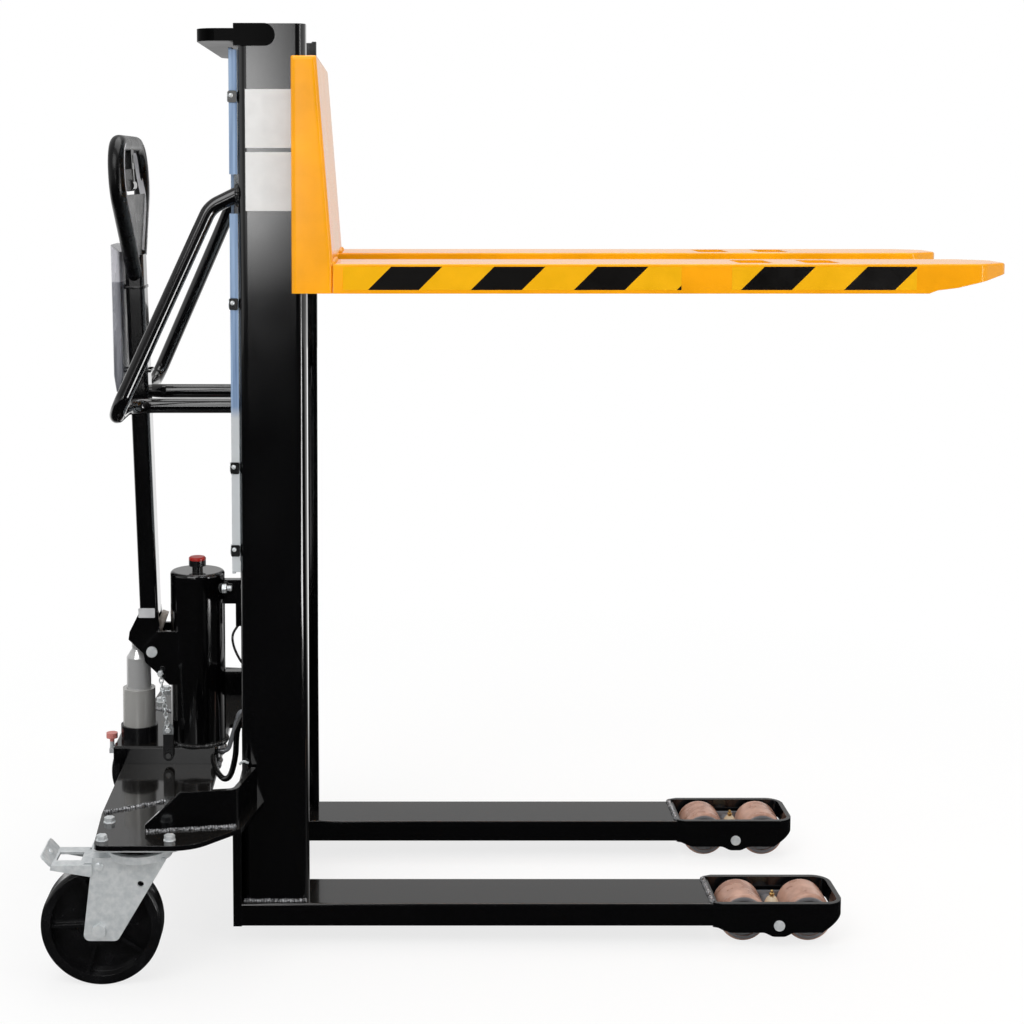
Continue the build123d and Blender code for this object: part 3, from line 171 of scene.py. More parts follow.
@dataclass(frozen=True)
class Finish:
    """A named finish. Each kind below feeds one Principled shader in its own way."""

    name: str

    def sockets(self, graph: Graph) -> Sockets:
        """Gives the shader's inputs by name."""
        raise NotImplementedError

    def surface(self, graph: Graph, shaded: Any) -> Any:
        """Gives the surface from the shader's output, here that output itself."""
        return shaded

    def material(self) -> Material:
        """Builds the material.

        Returns:
            A material whose nodes are the finish's own.
        """
        made = bpy.data.materials.new(self.name)
        made.use_nodes = True
        graph = Graph(made.node_tree)
        graph.tree.nodes.clear()
        shaded = graph.add("ShaderNodeBsdfPrincipled", self.sockets(graph))["BSDF"]
        graph.add("ShaderNodeOutputMaterial", {"Surface": self.surface(graph, shaded)})
        return made


@dataclass(frozen=True)
class SprayedPaint(Finish):
    """Sprayed enamel on welded steel: smooth, with a faint orange peel, edges lighter by wear and a painted highlight,
    dusty on top.
    """

    colour: str
    # lighter edge colour: partly wear, partly a painted highlight on the rounded edges
    edge: str
    roughness: float = 0.2
    peel: float = 3.0
    dust: float = 0.05
    coat: float = 0.5
    rounding: float = 1.6
    shine: float = 0.5
    cloud: float = 90.0
    speck: float = 1.6
    dirt: str = "#A39C92"

    def sockets(self, graph: Graph) -> Sockets:
        """Feeds the paint: edges lighter where the rounded normal leaves the face, partly wear and partly a painted
        highlight; dusty where the face looks up.
        """
        where, face, soft = graph.where(), graph.facing(), graph.soft(self.rounding)
        film, cloud = graph.noise(where, self.peel, 2.0), graph.noise(where, self.cloud, 5.0)
        speck = graph.noise(where, self.speck, 1.0)
        turn = graph.add("ShaderNodeVectorMath", {0: soft, 1: face}, operation="DOT_PRODUCT")["Value"]
        # lighter edges, partly wear and partly a painted highlight, where the rounded normal turns away from the face
        edge_wear_and_sheen = graph.math("MULTIPLY", graph.ramp(turn, 0.995, 0.8), graph.ramp(cloud, 0.4, 0.65, 0.15, 0.7))
        level = graph.ramp(graph.parts(face)["Z"], 0.5, 1.0, 0.0, self.dust)
        dusty = graph.math("MULTIPLY", level, graph.ramp(speck, 0.45, 0.7, 0.2, 1.0))
        edged = graph.mix(edge_wear_and_sheen, graph.shade(self.colour, graph.spread(cloud, 0.9, 1.1)), self.edge)
        return {"Base Color": graph.mix(dusty, edged, self.dirt),
                "Roughness": graph.spread(cloud, self.roughness - 0.02, self.roughness + 0.03),
                "Normal": graph.bump(film, 0.05, 0.4, Normal=soft), "IOR": RESIN_IOR,
                "Specular IOR Level": self.shine, "Coat Weight": self.coat, "Coat Roughness": 0.03}


@dataclass(frozen=True)
class PlatedSteel(Finish):
    """Zinc-plated pressed steel: a bright bluish skin with cloudy crystals and fine rolling marks."""

    colour: str
    tint: str
    roughness: float = 0.32
    grain: float = 9.0
    marks: float = 0.8
    along: Triple = (0.15, 1.0, 1.0)
    metallic: float = 1.0

    def sockets(self, graph: Graph) -> Sockets:
        """Feeds the metal: two tints by the crystals, relief by the rolling marks."""
        where = graph.where()
        spangle = graph.noise(where, self.grain, 4.0)
        lines = graph.noise(graph.stretch(where, self.along), self.marks, 2.0)
        return {"Base Color": graph.mix(graph.mottle(spangle), self.colour, self.tint),
                "Roughness": graph.spread(spangle, self.roughness - 0.08, self.roughness + 0.1),
                "Normal": graph.bump(lines, 0.12, 0.15, Normal=graph.soft(0.8)), "Metallic": self.metallic}


@dataclass(frozen=True)
class TurnedSteel(Finish):
    """Ground and turned steel: fine rings round an upright axis, and below a given height black paint or a seal."""

    colour: str
    roughness: float = 0.2
    ring: float = 1.4
    split: float | None = None
    below: str = "#101012"
    metallic: float = 0.55
    cloud: float = 25.0

    def sockets(self, graph: Graph) -> Sockets:
        """Feeds the metal, with a painted lower part where split gives its top."""
        where = graph.where()
        cloud = graph.noise(where, self.cloud, 3.0)
        waves_per_unit = 20.0
        rings = graph.add("ShaderNodeTexWave", {"Vector": where, "Distortion": 0.4,
                                                "Scale": 1.0 / (self.ring * MM * waves_per_unit)}, bands_direction="Z")
        fed = {"Base Color": srgb(self.colour), "Metallic": self.metallic,
               "Roughness": graph.spread(cloud, self.roughness - 0.05, self.roughness + 0.08),
               "Normal": graph.bump(rings["Fac"], 0.08, 0.1, Normal=graph.soft(0.8))}
        if self.split is not None:
            upper = graph.math("GREATER_THAN", graph.parts(where)["Z"], self.split * MM)
            fed["Base Color"] = graph.mix(upper, self.below, self.colour)
            fed["Metallic"] = graph.ramp(upper, 0.0, 1.0, 0.0, self.metallic)
        return fed


@dataclass(frozen=True)
class MouldedPlastic(Finish):
    """Moulded plastic: a smooth skin with a faint texture, optionally another colour on its sides or above a height."""

    colour: str
    tone: str
    roughness: float = 0.3
    grit: float = 0.9
    relief: float = 0.06
    sides: str | None = None
    above: tuple[float, str] | None = None
    coat: float = 0.0
    shine: float = 0.5
    cloud: float = 30.0

    def sockets(self, graph: Graph) -> Sockets:
        """Feeds the plastic: two tones by a cloud, then the colours of its sides and its upper part."""
        where = graph.where()
        cloud = graph.noise(where, self.cloud, 4.0)
        colour = graph.mix(graph.mottle(cloud), self.colour, self.tone)
        if self.sides:
            across = graph.math("ABSOLUTE", graph.parts(graph.facing())["Y"])
            colour = graph.mix(graph.ramp(across, 0.8, 0.9), colour, self.sides)
        if self.above:
            edge = self.above[0] * MM
            colour = graph.mix(graph.ramp(graph.parts(where)["Z"], edge, edge + 0.5 * MM), colour, self.above[1])
        bump = graph.bump(graph.noise(where, self.grit, 2.0), self.relief, 0.3, Normal=graph.soft(1.0))
        return {"Base Color": colour, "Roughness": graph.spread(cloud, self.roughness - 0.05, self.roughness + 0.08),
                "Normal": bump, "IOR": RESIN_IOR, "Specular IOR Level": self.shine, "Coat Weight": self.coat}


@dataclass(frozen=True)
class ClearSheet(Finish):
    """Polycarbonate sheet: clear faces, and edges that carry the sheet's blue protective film down to a height."""

    colour: str = "#E6F0F6"
    edge: str = "#5C79A3"
    light: str = "#A3BDDC"
    pale: str = "#CBCFD2"
    change: float = 885.0
    fade: float = 10.0
    saw: float = 5.0

    def sockets(self, graph: Graph) -> Sockets:
        """Feeds the sheet; faces that don't look along X are its sawn edges."""
        where = graph.where()
        saw = graph.noise(graph.stretch(where, (1.0, 1.0, 0.02)), self.saw, 3.0)
        clear = graph.math("GREATER_THAN", graph.math("ABSOLUTE", graph.parts(graph.facing())["X"]), 0.5)
        upper = graph.ramp(graph.parts(where)["Z"], (self.change - self.fade) * MM, (self.change + self.fade) * MM)
        tinted = graph.mix(upper, self.pale, graph.mix(graph.spread(saw, 0.0, 1.0), self.edge, self.light))
        return {"Base Color": graph.mix(clear, tinted, self.colour), "IOR": 1.58,
                "Transmission Weight": graph.ramp(clear, 0.0, 1.0, 0.15, 0.97),
                "Roughness": graph.ramp(clear, 0.0, 1.0, 0.35, 0.03)}


@dataclass(frozen=True)
class HazardVinyl(Finish):
    """Self-adhesive vinyl with slanting black bars on yellow; the bars follow the tape's UV map, in millimetres."""

    yellow: str = "#F0B000"
    black: str = "#080605"
    pitch: float = 163.3
    bar: float = 81.0
    slope: float = 1.0
    cloud: float = 40.0
    shine: float = 0.2

    def sockets(self, graph: Graph) -> Sockets:
        """Feeds the tape: bar where the fraction of (u - v * slope) / pitch is below bar / pitch."""
        spot = graph.parts(graph.add("ShaderNodeUVMap")[0])
        lean = graph.math("MULTIPLY_ADD", spot["Y"], -self.slope, spot["X"])
        part = graph.math("FRACT", graph.math("DIVIDE", lean, self.pitch))
        bar = graph.math("LESS_THAN", part, self.bar / self.pitch)
        cloud = graph.noise(graph.where(), self.cloud, 4.0)
        yellow = graph.shade(self.yellow, graph.spread(cloud, 0.95, 1.05))
        return {"Base Color": graph.mix(bar, yellow, self.black), "Roughness": graph.spread(cloud, 0.3, 0.42),
                "IOR": RESIN_IOR, "Specular IOR Level": self.shine}


@dataclass(frozen=True)
class PouchFilm(Finish):
    """Soft PVC film of a document pouch: grey, half clear, creased lengthwise, with a pale card in its upper part."""

    colour: str = "#6E6F76"
    tone: str = "#A0A1A9"
    card: str = "#DEDDE4"
    card_foot: float = 1085.0
    crease: float = 14.0

    def sockets(self, graph: Graph) -> Sockets:
        """Feeds the film: colour, gloss and relief all follow the creases."""
        where = graph.where()
        crease = graph.noise(graph.stretch(where, (1.0, 1.0, 0.12)), self.crease, 4.0)
        grey = graph.mix(graph.mottle(crease), self.colour, self.tone)
        upper = graph.ramp(graph.parts(where)["Z"], self.card_foot * MM, (self.card_foot + 2.0) * MM, 0.0, 0.85)
        return {"Base Color": graph.mix(upper, grey, self.card), "Roughness": graph.spread(crease, 0.14, 0.3),
                "Normal": graph.bump(crease, 0.5, 2.0), "Transmission Weight": 0.25}


@dataclass(frozen=True)
class StudioFloor(Finish):
    """Seamless paper: white for the camera apart from the object's soft shadow; lengths in metres.

    Reflections see it dark in front, with a lit band on the right, and white behind. A pair says where a change
    starts and ends.
    """

    colour: str = "#F4F4F3"
    clean: float = 0.78
    near: float = 0.9
    far: float = 2.2
    front: float = 0.02
    behind: float = 1.2
    band: float = 14.0
    band_slope: float = 0.7
    band_front: Pair = (-1.4, -1.1)
    band_back: Pair = (-0.35, -0.15)
    band_start: Pair = (1.2, 1.4)
    to_behind: Pair = (0.4, 1.6)

    def sockets(self, graph: Graph) -> Sockets:
        """Feeds the paper, whose tooth shows only in its roughness."""
        tooth = graph.noise(graph.where(), 2.0, 2.0)
        return {"Base Color": srgb(self.colour), "Roughness": graph.spread(tooth, 0.85, 0.95)}

    def surface(self, graph: Graph, shaded: Any) -> Any:
        """Mixes the paper with plain white by the distance from the object, and swaps it for what reflections see.

        Args:
            graph: nodes of the material.
            shaded: the shaded paper.

        Returns:
            The socket of the whole surface.
        """
        where = graph.where()
        spot, rays = graph.parts(where), graph.add("ShaderNodeLightPath")
        camera, mirror, through = (rays[f"Is {kind} Ray"] for kind in ("Camera", "Glossy", "Transmission"))
        lean = graph.math("MULTIPLY_ADD", spot["X"], self.band_slope, spot["Y"])
        wide = graph.math("MULTIPLY", graph.ramp(lean, *self.band_front), graph.ramp(lean, *self.band_back, 1.0, 0.0))
        band = graph.math("MULTIPLY", wide, graph.ramp(spot["X"], *self.band_start, 0.0, self.band))
        lit = graph.math("ADD", graph.ramp(spot["Y"], *self.to_behind, self.front, self.behind), band)
        distance = graph.add("ShaderNodeVectorMath", {0: where}, operation="LENGTH")["Value"]
        share = graph.math("MULTIPLY", graph.ramp(distance, self.near, self.far, self.clean, 1.0),
                           graph.math("MAXIMUM", camera, through))
        paper = graph.add("ShaderNodeMixShader", {0: share, 1: shaded, 2: graph.glow(1.0)})[0]
        bounced = graph.math("SUBTRACT", mirror, through, use_clamp=True)
        return graph.add("ShaderNodeMixShader", {0: bounced, 1: paper, 2: graph.glow(lit)})[0]


class Slot(Enum):
    """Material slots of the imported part."""

    BLACK_PAINT = "black_paint"
    YELLOW_PAINT = "yellow_paint"
    CLEAR_PANEL = "clear_panel"
    ZINC_PLATE = "zinc_plate"
    POLISHED_STEEL = "polished_steel"
    ROLLER_STEEL = "roller_steel"
    CHAIN_STEEL = "chain_steel"
    ROLLER_PLASTIC = "roller_plastic"
    WHEEL_PLASTIC = "wheel_plastic"
    BLACK_PLASTIC = "black_plastic"
    RED_PLASTIC = "red_plastic"


# each paint's second colour is its edge colour: partly wear, partly a painted edge highlight
FINISHES: dict[Slot, Finish] = {
    Slot.BLACK_PAINT: SprayedPaint("black enamel", "#040405", "#2C2D30", 0.12, coat=0.6),
    Slot.YELLOW_PAINT: SprayedPaint("orange-yellow enamel", "#F8A50C", "#FFD27A", 0.16, dust=0.03, coat=0.2,
                                    shine=0.3),
    Slot.CLEAR_PANEL: ClearSheet("clear polycarbonate"),
    Slot.ZINC_PLATE: PlatedSteel("zinc-plated steel", "#D3D8DA", "#E6E9EA", 0.36, metallic=0.4),
    Slot.POLISHED_STEEL: TurnedSteel("polished steel", "#D2D2D2", 0.16, metallic=0.5),
    Slot.ROLLER_STEEL: TurnedSteel("bearing steel", "#8F9196", 0.3),
    Slot.CHAIN_STEEL: PlatedSteel("oiled chain steel", "#55565A", "#77787C", 0.35),
    Slot.ROLLER_PLASTIC: MouldedPlastic("cast polyurethane", "#9E7664", "#C8A18F", 0.28, sides="#77777A"),
    Slot.WHEEL_PLASTIC: MouldedPlastic("black nylon", "#0A0A0B", "#101012", 0.22, coat=0.3),
    Slot.BLACK_PLASTIC: MouldedPlastic("moulded black plastic", "#0A0A0B", "#121214", 0.24, coat=0.3),
    Slot.RED_PLASTIC: MouldedPlastic("red plastic", "#B5231B", "#C92E22", 0.3),
}

NODE_FINISHES: dict[str, Finish] = {
    "mast_head": SprayedPaint("thick brushed black paint", "#030303", "#2C2D30", 0.3, 7.0, coat=0.02, shine=0.03),
    "grip_loop": MouldedPlastic("textured black grip", "#030304", "#070708", 0.26, relief=0.12, shine=0.3),
    "pump_cylinder": TurnedSteel("turned steel over a black collar", "#CFCECB", 0.2, split=300.0, metallic=0.5),
    "filler_cap": MouldedPlastic("black cap with a red ring", "#0D0D0F", "#151517", 0.3, above=(594.0, "#B3261D")),
    "release_lever": MouldedPlastic("black lever with a worn grey end", "#0C0C0E", "#131315", 0.3,
                                    above=(296.0, "#8D9092")),
    "block_valve": MouldedPlastic("steel stem with a pale red cap", "#A9ACAE", "#BDBFC1", 0.3,
                                  above=(268.0, "#D0827A")),
}


@dataclass
class CadFinishes:
    """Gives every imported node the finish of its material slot, or its own where it carries two colours."""

    nodes: dict[str, bpy.types.Object]

    def dress(self) -> dict[Slot, Material]:
        """Assigns the finishes.

        Returns:
            The material made for each slot.
        """
        made = {slot: FINISHES[slot].material() for slot in Slot}
        slots = {entry["node"]: Slot(entry["material_slot"]) for entry in frame["record"]["subparts"]}
        for name, node in self.nodes.items():
            material = NODE_FINISHES[name].material() if name in NODE_FINISHES else made[slots[name]]
            node.data.materials.clear()
            node.data.materials.append(material)
            LOG.info("%s: %s", name, material.name)
        return made


def grid_faces(rows: int, columns: int) -> list[Faces]:
    """Faces of rows of closed rings, numbered ring by ring: quad (i, j), (i, j + 1), (i + 1, j + 1), (i + 1, j).

    Args:
        rows: number of rings.
        columns: number of points in a ring.

    Returns:
        The quads between the rings, and one face each that closes the first and the last ring.
    """
    i, j = np.meshgrid(np.arange(rows - 1), np.arange(columns), indexing="ij")
    k = (j + 1) % columns
    quads = np.stack([i * columns + j, i * columns + k, (i + 1) * columns + k, (i + 1) * columns + j], -1)
    ring = np.arange(columns)
    return [quads.reshape(-1, 4), ring[::-1][None], (ring + (rows - 1) * columns)[None]]


@dataclass
class Shape:
    """Points and faces that grow form by form, so that many small forms become one mesh."""

    points: list[Array] = field(default_factory=list)
    faces: list[Faces] = field(default_factory=list)
    count: int = 0

    def add(self, points: Array, faces: list[Faces]) -> None:
        """Adds a form: its points, and its faces numbered from its own first point."""
        self.points.append(points)
        self.faces.extend(group + self.count for group in faces)
        self.count += len(points)

    def sweep(self, path: Array, profile: Array, side: Point, swell: Array | None = None) -> None:
        """Sweeps a closed outline along a path: p(i, j) = path(i) + swell(i) * (a(j) * n(i) + b(j) * t(i) x n(i)).

        t is the path's direction, n the given side direction made square to it. Both ends are closed by a face.

        Args:
            path: rows of x, y, z.
            profile: rows of a, b, anticlockwise when seen against the path's direction.
            side: direction of the outline's a axis.
            swell: scale of the outline at each row of the path.
        """
        t = np.gradient(path, axis=0)
        t /= np.linalg.norm(t, axis=1, keepdims=True)
        n = np.array(side, dtype=float) - (t @ np.array(side, dtype=float))[:, None] * t
        n /= np.linalg.norm(n, axis=1, keepdims=True)
        grow = np.ones(len(path)) if swell is None else swell
        ring = profile[None, :, 0, None] * n[:, None] + profile[None, :, 1, None] * np.cross(t, n)[:, None]
        points = (path[:, None] + grow[:, None, None] * ring).reshape(-1, 3)
        self.add(points, grid_faces(len(path), len(profile)))

    def bar(self, start: Point, end: Point, profile: Array, side: Point = X_AXIS) -> None:
        """Sweeps a closed outline straight from start to end."""
        self.sweep(straight(start, end, 2), profile, side)

    def turn(self, profile: Outline, centre: Point, axis: Point, steps: int) -> None:
        """Turns an outline round an axis: p(i, j) = centre + h(i) * axis + r(i) * (cos a(j) * u + sin a(j) * v).

        The outline's ends are closed by a face each, so it needn't start or end on the axis.

        Args:
            profile: rows of r, h from the start to the end of the axis.
            centre: point from which h is measured.
            axis: direction of the axis.
            steps: points round the axis; 6 gives a hexagon head.
        """
        r, h = np.array(profile).T[:, :, None, None]
        w = np.array(axis, dtype=float) / np.linalg.norm(axis)
        u = np.cross(w, Z_AXIS if abs(w[2]) < 0.9 else X_AXIS)
        u /= np.linalg.norm(u)
        a = np.linspace(0.0, 2.0 * pi, steps, endpoint=False)[:, None]
        points = np.array(centre, dtype=float) + h * w + r * (np.cos(a) * u + np.sin(a) * np.cross(w, u))
        self.add(points.reshape(-1, 3), grid_faces(len(profile), steps))

    def brick(self, low: Point, high: Point) -> None:
        """Adds a thin plate: its eight points are all pairings of the two corners' coordinates."""
        x, y, z = np.meshgrid(*[np.array(pair, dtype=float) for pair in zip(low, high)], indexing="ij")
        faces = [[0, 1, 3, 2], [4, 6, 7, 5], [0, 4, 5, 1], [2, 3, 7, 6], [0, 2, 6, 4], [1, 5, 7, 3]]
        self.add(np.stack([x, y, z], -1).reshape(-1, 3), [np.array(faces)])

    def put(self, name: str, material: Material, body: str | None = None, slot: Slot | None = None,
            smooth: bool = True, uv: Array | None = None) -> bpy.types.Object:
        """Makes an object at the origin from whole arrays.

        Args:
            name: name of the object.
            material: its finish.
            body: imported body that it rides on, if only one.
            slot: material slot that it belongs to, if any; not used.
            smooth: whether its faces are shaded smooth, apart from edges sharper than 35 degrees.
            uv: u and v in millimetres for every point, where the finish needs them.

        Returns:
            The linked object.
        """
        mesh = bpy.data.meshes.new(name)
        rows = [row for group in self.faces for row in group.tolist()]
        mesh.from_pydata((np.concatenate(self.points) * MM).tolist(), [], rows)
        if uv is not None:
            layer = mesh.uv_layers.new(name="UVMap")
            loops = np.empty(len(mesh.loops), dtype=np.int32)
            mesh.loops.foreach_get("vertex_index", loops)
            layer.data.foreach_set("uv", uv[loops].astype(np.float32).ravel())
        mesh.materials.append(material)
        if smooth:
            mesh.shade_smooth()
            mesh.set_sharp_from_angle(angle=radians(35.0))
        made = bpy.data.objects.new(name, mesh)
        bpy.context.scene.collection.objects.link(made)
        if body:
            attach(made, body)
        LOG.info("%s: %d points", name, self.count)
        return made


def round_outline(radius: float, steps: int) -> Array:
    """A circle as rows of a, b: (r cos t, r sin t)."""
    t = np.linspace(0.0, 2.0 * pi, steps, endpoint=False)
    return radius * np.stack([np.cos(t), np.sin(t)], -1)


def signed_power(values: Array, power: float) -> Array:
    """A power that keeps the sign, for superellipses: sign(v) * |v|^power."""
    return np.sign(values) * np.abs(values) ** power


def straight(start: Point, end: Point, count: int) -> Array:
    """Evenly spaced points from start to end: start + s * (end - start)."""
    s = np.linspace(0.0, 1.0, count)[:, None]
    return np.array(start, dtype=float) + s * np.subtract(end, start)


def slab_outline(wide: float, high: float, corner: float, tilt: float = 0.0) -> Array:
    """A rounded rectangle as rows of a, b: a quarter circle of 4 points round each corner's centre, turned by tilt.

    Args:
        wide: size along a.
        high: size along b.
        corner: radius of the corners.
        tilt: turn in degrees.

    Returns:
        The outline, anticlockwise.
    """
    t = np.linspace(0.0, 2.0 * pi, 16, endpoint=False).reshape(4, 4) + pi / 16.0
    quarters = np.array([(1.0, 1.0), (-1.0, 1.0), (-1.0, -1.0), (1.0, -1.0)])
    middle = quarters * (wide / 2.0 - corner, high / 2.0 - corner)
    outline = (middle[:, None] + corner * np.stack([np.cos(t), np.sin(t)], -1)).reshape(-1, 2)
    c, s = np.cos(radians(tilt)), np.sin(radians(tilt))
    return outline @ np.array([(c, s), (-s, c)])


def smooth_path(knots: Path, count: int) -> Array:
    """Catmull-Rom line: half of 2b + (c - a)s + (2a - 5b + 4c - d)s^2 + (3b - a - 3c + d)s^3 between knots b and c.

    Args:
        knots: rows of x, y, z that the line goes through.
        count: number of points.

    Returns:
        The points.
    """
    rows = np.array(knots)
    ends = np.concatenate([2.0 * rows[:1] - rows[1:2], rows, 2.0 * rows[-1:] - rows[-2:-1]])
    place = np.linspace(0.0, len(rows) - 1.0, count)
    step = np.minimum(place.astype(int), len(rows) - 2)
    s = (place - step)[:, None]
    a, b, c, d = (ends[step + k] for k in range(4))
    square, cube = 2.0 * a - 5.0 * b + 4.0 * c - d, 3.0 * b - a - 3.0 * c + d
    return 0.5 * (2.0 * b + (c - a) * s + square * s ** 2 + cube * s ** 3)


@dataclass
class HazardTape:
    """Two strips of warning tape on the outer side of each fork."""

    side_y: float = 275.0
    thickness: float = 0.25
    low: float = 1086.8
    high: float = 1123.8
    strips: tuple[Triple, ...] = ((-297.0, 239.5, -257.8), (319.4, 612.5, 333.8))

    def build(self, vinyl: Material) -> None:
        """Makes the strips; each holds its start, its end and the foot of its first bar along X."""
        for side, name in SIDES:
            inner, outer = sorted((side * self.side_y, side * (self.side_y + self.thickness)))
            for number, (start, end, first) in enumerate(self.strips, 1):
                strip = Shape()
                strip.brick((start, inner, self.low), (end, outer, self.high))
                uv = strip.points[0][:, (0, 2)] - (first, self.low)
                strip.put(f"hazard_tape_{name}_{number}", vinyl, "carriage", smooth=False, uv=uv)


@dataclass
class WeldBeads:
    """Fillet welds: half-sunk round beads with the ripples of a hand-guided torch."""

    radius: float = 4.0
    ripple: float = 4.2
    ripple_depth: float = 0.15
    sway: float = 31.0
    sway_depth: float = 0.1
    step: float = 0.9
    chassis_runs: tuple[Run, ...] = (
        ((-684.0, -294.6, 241.0), (-593.0, -239.2, 241.0)),
        ((-606.0, -380.0, 241.0), (-466.0, -356.0, 241.0)),
        ((-464.0, -238.5, 72.0), (-360.0, -238.5, 72.0)),
        ((310.0, -247.0, 72.5), (310.0, -143.0, 72.5)),
        ((-521.5, -60.0, 241.0), (-521.5, -20.0, 241.0)),
    )
    carriage_runs: tuple[Run, ...] = (
        ((-313.0, -262.0, 1128.0), (-313.0, -118.0, 1128.0)),
        ((-311.0, -269.0, 1128.0), (-345.5, -269.0, 1128.0)),
    )
    rings: tuple[tuple[Point, Point, Point, float], ...] = (
        ((-561.0, 0.0, 272.5), X_AXIS, Y_AXIS, 49.0),
        ((-467.5, -218.0, 1238.5), Y_AXIS, Z_AXIS, 13.2),
        ((-467.5, -104.0, 880.0), Y_AXIS, Z_AXIS, 13.2),
    )

    def bead(self, shape: Shape, path: Array, side: Point) -> None:
        """Sweeps a bead, whose radius swells with sin(2 pi s / ripple) and sin(2 pi s / sway) along its length s.

        Its mirror image on the other side of the truck is swept too, unless it lies across the middle.

        Args:
            shape: where the beads go.
            path: rows of x, y, z.
            side: a direction square to the path.
        """
        s = np.concatenate([[0.0], np.cumsum(np.linalg.norm(np.diff(path, axis=0), axis=1))])
        ripples, sways = np.sin(2.0 * pi * s / self.ripple), np.sin(2.0 * pi * s / self.sway)
        swell = 1.0 + self.ripple_depth * ripples + self.sway_depth * sways
        outline = round_outline(self.radius, 10)
        shape.sweep(path, outline, side, swell)
        if path[:, 1].max() < 0.0:
            shape.sweep(path[::-1] * (1.0, -1.0, 1.0), outline, side, swell)

    def build(self, painted_glint_weld: Material, black: Material, yellow: Material) -> None:
        """Makes the straight beads and the rings of the chassis, and the beads of the carriage."""
        chassis, rings, carriage = Shape(), Shape(), Shape()
        for shape, runs in ((chassis, self.chassis_runs), (carriage, self.carriage_runs)):
            for start, end in runs:
                count = int(np.linalg.norm(np.subtract(end, start)) / self.step)
                self.bead(shape, straight(start, end, count), Z_AXIS)
        for centre, first, second, radius in self.rings:
            turn = np.linspace(0.0, 2.0 * pi, int(2.0 * pi * radius / self.step))[:, None]
            path = np.array(centre) + radius * (np.cos(turn) * first + np.sin(turn) * second)
            self.bead(rings, path, tuple(np.cross(first, second)))
        # the straight chassis beads take the weld finish with painted glints
        chassis.put("chassis_welds", painted_glint_weld, "mast", Slot.BLACK_PAINT)
        rings.put("ring_welds", black, "mast", Slot.BLACK_PAINT)
        carriage.put("carriage_welds", yellow, "carriage", Slot.YELLOW_PAINT)


@dataclass
class LeafChains:
    """Leaf chain in place of the plain strands: stacks of plates on pins, laced four and five."""

    pitch: float = 9.525
    plate_half: float = 4.4
    plate: float = 1.5
    spread: float = 1.7
    strand_y: float = 60.0
    back_x: float = -450.0
    front_x: float = -364.0
    pulley_z: float = 1440.0
    lug_z: float = 880.0
    tie_z: float = 1180.0
    rise_gaps: Pair = (4.0, 2.0)
    fall_gaps: Pair = (4.0, 3.0)

    def links(self, shape: Shape, pins: Array, y: float) -> None:
        """Adds plates between neighbouring pins: an obround of 12 points, c + s * d + t * n, thickened along Y.

        Args:
            shape: where the plates go.
            pins: rows of x, z of the pins' middles.
            y: middle of the chain across.
        """
        t = np.linspace(-pi / 2.0, pi / 2.0, 6)
        cap = self.plate_half * np.stack([np.cos(t), np.sin(t)], -1) + (self.pitch / 2.0, 0.0)
        outline = np.concatenate([cap, -cap])
        d = np.diff(pins, axis=0) / np.linalg.norm(np.diff(pins, axis=0), axis=1, keepdims=True)
        n = np.stack([-d[:, 1], d[:, 0]], -1)
        middle = (pins[1:] + pins[:-1]) / 2.0
        flat = middle[:, None] + outline[None, :, :1] * d[:, None] + outline[None, :, 1:] * n[:, None]
        for odd, places in ((0, np.arange(-2, 3)), (1, np.arange(-2, 2) + 0.5)):
            chosen = flat[odd::2, None, None]
            faces = y + 2.0 * self.spread * places[:, None, None] + self.plate * np.array([[0.5], [-0.5]])
            points = np.stack(np.broadcast_arrays(chosen[..., 0], faces, chosen[..., 1]), -1).reshape(-1, 24, 3)
            first = 24 * np.arange(len(points))[:, None, None]
            shape.add(points.reshape(-1, 3),
                      [(first + group).reshape(-1, group.shape[1]) for group in grid_faces(2, 12)])

    def build(self, steel: Material) -> None:
        """Makes both chains: the strands up from the lugs, and those over the pulleys down to the carriage.

        A strand's gaps lie between its first pin and where it starts, and between its last pin and where it ends.
        """
        rise = np.arange(self.lug_z + self.rise_gaps[0], self.pulley_z - self.rise_gaps[1], self.pitch)
        fixed = np.stack([np.full_like(rise, self.back_x), rise], -1)
        radius = (self.front_x - self.back_x) / 2.0
        angle = np.arange(pi, 0.0, -self.pitch / radius)[:, None]
        centre = np.array([(self.front_x + self.back_x) / 2.0, self.pulley_z])
        arc = centre + radius * np.concatenate([np.cos(angle), np.sin(angle)], -1)
        fall = np.arange(self.pulley_z - self.fall_gaps[0], self.tie_z + self.fall_gaps[1], -self.pitch)
        lift = np.concatenate([arc, np.stack([np.full_like(fall, self.front_x), fall], -1)])
        for kind, pins, first, second, x, start, end in (
                ("fixed", fixed, "mast", "rod", self.back_x, self.lug_z, self.pulley_z),
                ("lift", lift, "rod", "carriage", self.front_x, self.pulley_z, self.tie_z)):
            shape = Shape()
            for y in (-self.strand_y, self.strand_y):
                self.links(shape, pins, y)
            piece = shape.put(f"chain_links_{kind}", steel, smooth=False)
            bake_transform(piece)
            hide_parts(f"chain_{kind}_strands")


@dataclass
class PostLabels:
    """Two blank labels on the outer face of the near post."""

    face_y: float = -238.0
    thickness: float = 0.25
    left: float = -453.4
    right: float = -374.0
    spans: tuple[Pair, ...] = ((1311.2, 1404.5), (1210.9, 1304.8))

    def build(self, film: Material) -> None:
        """Makes the labels."""
        labels = Shape()
        for low, high in self.spans:
            labels.brick((self.left, self.face_y - self.thickness, low), (self.right, self.face_y, high))
        labels.put("post_labels", film, "mast", smooth=False)


